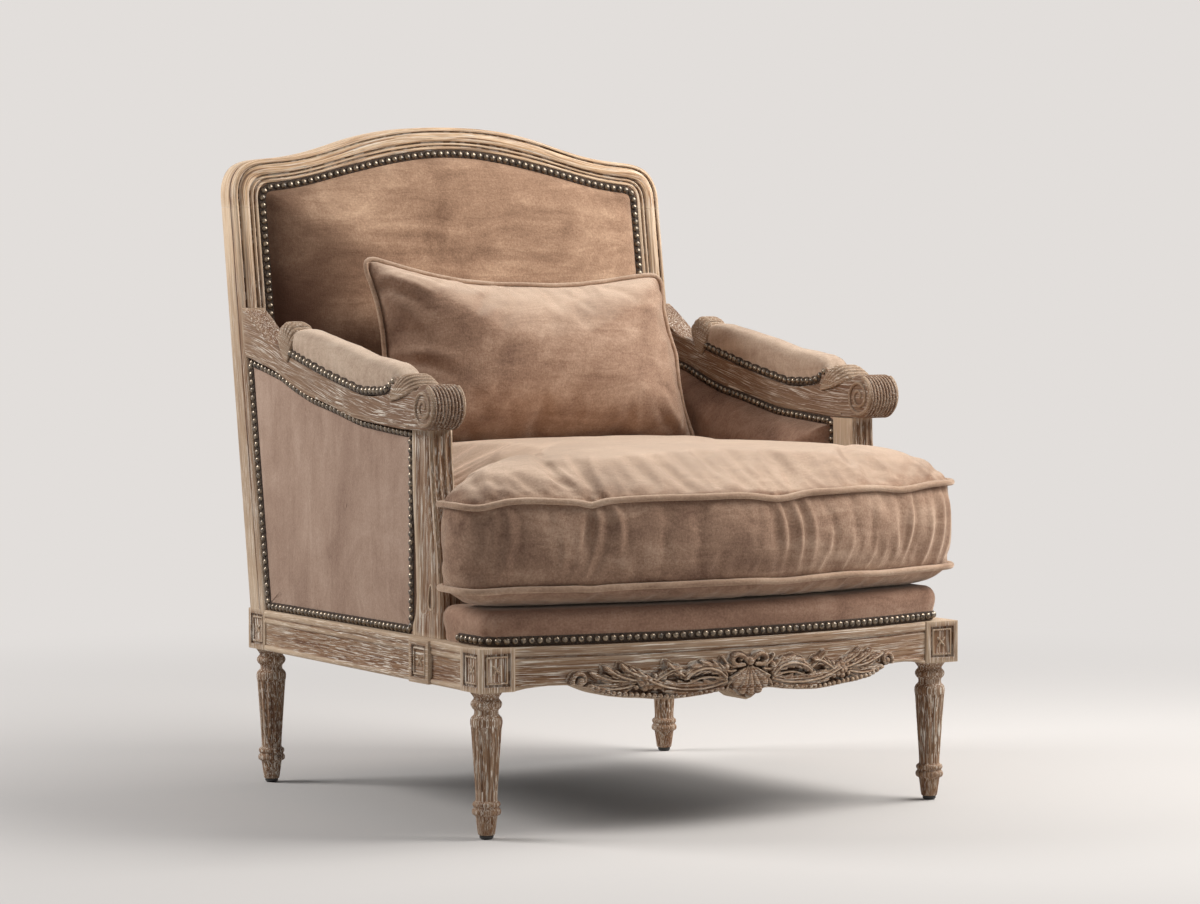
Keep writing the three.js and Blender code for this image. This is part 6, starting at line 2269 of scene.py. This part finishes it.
@dataclass
class Upholstery:
    """The fixed upholstery: back, arms, pads and deck, with their nails."""

    finishes: Finishes
    nails: NailRow = field(default_factory=NailRow)
    moulding: FrameMoulding = field(default_factory=FrameMoulding)
    fit: float = 0.3
    nail_inset: float = 6.0
    arm_front: float = 194.6
    inside_middle: float = 636.6
    outside_middle: float = 612.0
    deck_nail_height: float = 264.8

    def pad(self, piece: Piece, node: str, fill: float,
            material: Optional[bpy.types.Material] = None) -> None:
        """Dresses a padded piece that stands for one CAD node."""
        Bench.finish(piece, material or self.finishes.velvet, "velvet", "frame", [node], 60.0)

    def nail(self, node: str, line: Line, facing: Callable[[int], Vector], closed: bool = False) -> None:
        """Sets and dresses one row of nails on its dark strip of painted shade.

        Args:
            node: The CAD node that the row stands for.
            line: The row's path, in metres.
            facing: Takes a nail's number and returns the way that it faces.
            closed: Whether the row comes back to its start.
        """
        places = even_path(line, self.nails.pitch * MM, closed)
        # The dark strip under the nails is painted shade between the heads.
        strip = self.nails.shade_strip(f"{node}_braid", places, facing, closed)
        Bench.finish(strip, self.finishes.shade_strip, "velvet", "frame")
        lifted = [p + facing(i) * (self.nails.band_height * 0.7 * MM) for i, p in enumerate(places)]
        piece = self.nails.row(f"{node}_heads", lifted, facing)
        Bench.finish(piece, self.finishes.brass, "nails", "frame", [node], 30.0)

    def back_outline(self, bottom: float) -> list[Vector]:
        """The opening in the back frame as x, z, 0."""
        inner = PLAN.stile_inner - self.fit
        up = [Vector((-inner, bottom + (PLAN.stile_top - bottom) * i / 12, 0)) for i in range(12)]
        over = []
        for p in self.moulding.crest_lines()[1]:
            towards = (Vector((0, bottom)) - Vector((p.x, p.z))).normalized()
            over.append(Vector((max(min(p.x, inner), -inner) + towards.x * self.fit * 2,
                                p.z + towards.y * self.fit * 2, 0)))
        down = [Vector((-p.x, p.y, 0)) for p in reversed(up)]
        return up + over[1:-1] + down

    def arm_outline(self, floor: float, back: float) -> list[Vector]:
        """The opening under an arm as y, z, 0."""
        front = self.arm_front
        end = PLAN.scroll_z + PLAN.arm_rise * ARM_LOW[-1][1]
        low_back = PLAN.stile_front(floor) - back
        high_back = PLAN.stile_front(end) - back
        top = [front + (high_back - front) * i / 24 for i in range(25)]
        return ([Vector((y, PLAN.arm_low(y) - self.fit * 2, 0)) for y in top]
                + [Vector((low_back + (front - low_back) * i / 24, floor, 0)) for i in range(25)])

    def build_back(self) -> None:
        """The inside and the outside back with their nails."""
        outline = self.back_outline(PLAN.deck_top + self.fit)
        middle = Vector((0, self.inside_middle, 0))
        inside = StuffedPanel(outline, middle, PLAN.rim, bulge=47.5, thickness=16.5,
                              place=lambda x, z, out: spot(x, PLAN.stile_front(z) + 3.5 - out, z), rings=30)
        self.pad(inside.build("inside_back_pad"), "inside_back", 0.75, self.finishes.back_velvet)
        path = drawn_in(outline, self.nail_inset)
        face = Vector((0, -1, PLAN.lean)).normalized()
        line = [inside.place(p.x, p.y, 0.2) for p in path]
        self.nail("inside_back_nails", line, lambda i: face)
        outline = self.back_outline(PLAN.rail_top + self.fit)
        outside = StuffedPanel(outline, Vector((0, self.outside_middle, 0)), PLAN.rim, bulge=4.0,
                               thickness=5.5,
                               place=lambda x, z, out: spot(x, PLAN.stile_front(z) + 44.5 + out, z),
                               gathers=0.25, sags=0.8, rings=18, grow=0.8)
        self.pad(outside.build("outside_back_pad"), "outside_back", 0.5, self.finishes.side_velvet)
        line = [outside.place(p.x, p.y, 0.2) for p in drawn_in(outline, self.nail_inset)]
        self.nail("outside_back_nails", line, lambda i: -face, closed=True)

    def build_arm(self, label: str, side: int) -> None:
        """The inside and outside panels, the pad and the nails of one arm."""
        outline = self.arm_outline(PLAN.deck_top + self.fit, 22.3)
        inside = StuffedPanel(outline, Vector((331.4, 451.5, 0)), PLAN.rim, bulge=47.0, thickness=10.5,
                              place=lambda y, z, out: spot(side * (PLAN.post_inner + 3.5 - out), y, z),
                              rings=20)
        self.pad(inside.build(f"{label}_inside_arm_pad"), f"{label}_inside_arm", 0.75)
        inner = drawn_in(outline, self.nail_inset)
        line = [inside.place(p.x, p.y, 0.2) for p in [inner[-1], *inner[:25]]]
        self.nail(f"{label}_inside_arm_nails", line, lambda i: Vector((-side, 0, 0)))
        outline = self.arm_outline(PLAN.rail_top + self.fit, 0.6)
        outside = StuffedPanel(outline, Vector((387.0, 413.8, 0)), PLAN.rim, bulge=3.0, thickness=12.0,
                               place=lambda y, z, out: spot(side * (PLAN.post_outer - 3.0 + out), y, z),
                               gathers=1.7, gather_pitch=15.0, gather_reach=62.0, sags=0.9, rings=22,
                               grow=0.8)
        self.pad(outside.build(f"{label}_outside_arm_pad"), f"{label}_outside_arm", 0.5,
                 self.finishes.side_velvet)
        line = [outside.place(p.x, p.y, 0.2) for p in drawn_in(outline, self.nail_inset)]
        self.nail(f"{label}_outside_arm_nails", line, lambda i: Vector((side, 0, 0)), closed=True)
        pad = ArmPad(side)
        self.pad(pad.build(f"{label}_arm_roll"), f"{label}_arm_pad", 0.8, self.finishes.pad_velvet)
        for word, flank in (("outer", 1), ("inner", -1)):
            self.nail(f"{label}_arm_pad_{word}_nails", pad.nail_places(flank, self.nails.pitch),
                      lambda i, way=side * flank: Vector((way, 0, 0.1)).normalized())

    def build(self) -> None:
        """Builds and dresses the fixed upholstery."""
        self.nails.build()
        self.build_back()
        for label, side in SIDES:
            self.build_arm(label, side)
        deck = SeatDeck()
        self.pad(deck.build("seat_deck_pad"), "seat_deck", 0.7)
        path = [spot(p.x, p.y, self.deck_nail_height) for p in deck.nail_path()]
        line = even_path(path, self.nails.pitch * MM)
        ends = [line[0], *line, line[-1]]
        out = [Vector(((b - a).y, -(b - a).x, 0)).normalized() for a, b in zip(ends, ends[2:])]
        self.nail("deck_nails", line, lambda i: out[i])
        self.nails.remove()


@dataclass
class LooseCushions:
    """The seat cushion and the lumbar pillow."""

    finishes: Finishes

    def soft(self, piece: Piece, node: str, body: str, fill: Optional[float] = None) -> None:
        """Dresses one soft piece, or without a fill one cord, that stands for a CAD node."""
        # The cushion, pillow and welt velvets are lighter copies, painted light.
        cloth = self.finishes.cushion_velvet if body == "cushion" else self.finishes.pillow_velvet
        if fill is None:
            cloth = self.finishes.welt_velvet
        Bench.finish(piece, cloth, "velvet", body, [node], 75.0)

    def build(self) -> None:
        """Builds and dresses both."""
        seat = SeatCushion()
        self.soft(seat.build(), "seat_cushion", "cushion", 0.8)
        for word, z, pinched, dropped in (("top", seat.upper, 1.0, 0.5), ("bottom", seat.lower, 0.3, 0.0)):
            cord = seat.build_welt(f"cushion_{word}_cord", z, pinched, dropped)
            self.soft(cord, f"cushion_{word}_welt", "cushion")
        pillow = LumbarPillow()
        self.soft(pillow.build(), "lumbar_pillow", "pillow", 0.7)
        self.soft(pillow.build_piping(), "pillow_piping", "pillow")


@dataclass
class Underside:
    """The parts that the CAD model already shapes rightly, which only get their finishes."""

    finishes: Finishes

    def dress(self) -> None:
        """Paints each of them."""
        for name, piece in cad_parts.items():
            material = None
            if name.endswith("_glide"):
                material = self.finishes.nylon
            elif name.endswith("_screw"):
                material = self.finishes.steel
            elif "webbing" in name:
                material = self.finishes.jute
            elif name == "dust_cover":
                material = self.finishes.cambric
            elif name.endswith("_brace") or name in ("back_rail", "lower_back_rail"):
                material = self.finishes.raw_wood
            if material:
                piece.data.materials.clear()
                piece.data.materials.append(material)
                LOG.info("%s keeps its shape", name)


@dataclass
class Studio:
    """The floor, the lamps, the pale background and the camera."""

    eye: tuple[float, float, float] = (-3095.3, -4659.2, 801.7)
    aim: tuple[float, float, float] = (17.0, 328.1, 490.8)
    lens: float = 122.3
    backdrop: Colour = plain(226, 222, 219)
    floor: Colour = plain(202, 198, 195)
    near: float = 0.75
    far: float = 2.6
    radius: float = 9.0
    floor_z: float = -0.0004
    air: Colour = (0.9, 0.95, 1.0)
    air_strength: float = 0.27

    def build_floor(self) -> None:
        """A round floor whose edge melts into the background."""
        Bench.clear()
        bpy.ops.mesh.primitive_circle_add(vertices=96, radius=self.radius, fill_type="NGON",
                                          location=(0, 0, self.floor_z))
        floor = Bench.take("floor")
        Bench.settle()
        work = Shader("studio_floor")
        work.set(Base_Color=(*self.floor, 1.0), Roughness=0.9, Specular_IOR_Level=0.05)
        place = work.stretched((1.0, 1.0, 0.0))
        reach = work.add("ShaderNodeVectorMath", {0: place}, operation="LENGTH").outputs["Value"]
        fade = work.add("ShaderNodeMapRange", {
            "Value": reach, "From Min": self.near, "From Max": self.far, "To Min": 0.0, "To Max": 1.0},
            interpolation_type="SMOOTHSTEP").outputs["Result"]
        glow = work.add("ShaderNodeEmission", {"Color": (*self.backdrop, 1.0), "Strength": 1.0})
        seen = work.add("ShaderNodeLightPath").outputs
        mirrored = work.step("MAXIMUM", seen["Is Glossy Ray"], seen["Is Transmission Ray"])
        shown = work.times(fade, work.step("MAXIMUM", seen["Is Camera Ray"], mirrored))
        blend = work.add("ShaderNodeMixShader", {
            0: shown, 1: work.surface.outputs["BSDF"], 2: glow.outputs["Emission"]})
        end = next(n for n in work.tree.nodes if n.type == "OUTPUT_MATERIAL")
        work.tree.links.new(blend.outputs["Shader"], end.inputs["Surface"])
        floor.data.materials.append(work.material)

    def build_world(self) -> None:
        """Pale where it is seen or mirrored, dimmer where it only lights the chair."""
        world = bpy.data.worlds.new("studio_air")
        bpy.context.scene.world = world
        world.use_nodes = True
        world.node_tree.nodes.clear()
        work = Nodes(world.node_tree)
        seen = work.add("ShaderNodeLightPath").outputs
        shown = seen["Is Camera Ray"]
        for kind in ("Is Glossy Ray", "Is Transmission Ray"):
            shown = work.step("MAXIMUM", shown, seen[kind])
        dim = work.add("ShaderNodeBackground", {"Color": (*self.air, 1.0), "Strength": self.air_strength})
        pale = work.add("ShaderNodeBackground", {"Color": (*self.backdrop, 1.0)})
        blend = work.add("ShaderNodeMixShader", {
            0: shown, 1: dim.outputs["Background"], 2: pale.outputs["Background"]})
        work.add("ShaderNodeOutputWorld", {"Surface": blend.outputs["Shader"]})

    def hang(self, name: str, data: bpy.types.ID, place: Sequence[float], aim: Sequence[float]) -> Piece:
        """Puts a lamp or a camera at a place, turned to another place, both in metres."""
        piece = bpy.data.objects.new(name, data)
        bpy.context.scene.collection.objects.link(piece)
        piece.location = place
        piece.rotation_euler = (Vector(aim) - Vector(place)).to_track_quat("-Z", "Y").to_euler()
        return piece

    def lamp(self, name: str, place: Sequence[float], aim: Sequence[float], size: float, watts: float,
             tint: Colour) -> None:
        """Hangs one square soft lamp, with its place and aim in metres."""
        light = bpy.data.lights.new(name, "AREA")
        light.shape = "SQUARE"
        light.size = size
        light.energy = watts
        light.color = tint
        self.hang(name, light, place, aim)

    def build_camera(self) -> None:
        """Sets the camera at the photograph's angle."""
        camera = bpy.data.cameras.new("camera")
        camera.lens = self.lens
        camera.sensor_width = 36.0
        camera.clip_end = 60.0
        bpy.context.scene.camera = self.hang("camera", camera, spot(*self.eye), spot(*self.aim))

    def build(self) -> None:
        """Builds the studio."""
        self.build_floor()
        self.build_world()
        self.lamp("key", (3.7, -0.2, 2.1), (0.0, 0.0, 0.4), 1.4, 45.0, (1.0, 0.99, 0.97))
        self.lamp("high", (2.0, 0.0, 3.3), (0.0, 0.0, 0.4), 1.6, 20.0, (1.0, 0.99, 0.97))
        self.lamp("near", (1.4, -1.0, 2.1), (0.0, 0.0, 0.6), 1.5, 66.0, (1.0, 0.98, 0.95))
        self.lamp("left", (-2.4, 1.6, 2.2), (0.0, 0.0, 0.4), 1.4, 78.0, (1.0, 0.99, 0.98))
        self.build_camera()
        bpy.context.scene.view_settings.view_transform = "Standard"


def main() -> None:
    """Builds the chair and its studio."""
    logging.basicConfig(level=logging.INFO, format="%(name)s: %(message)s")
    Studio().build()
    finishes = Finishes()
    WoodFrame(finishes).build()
    Upholstery(finishes).build()
    LooseCushions(finishes).build()
    Underside(finishes).dress()


if __name__ == "__main__":
    main()
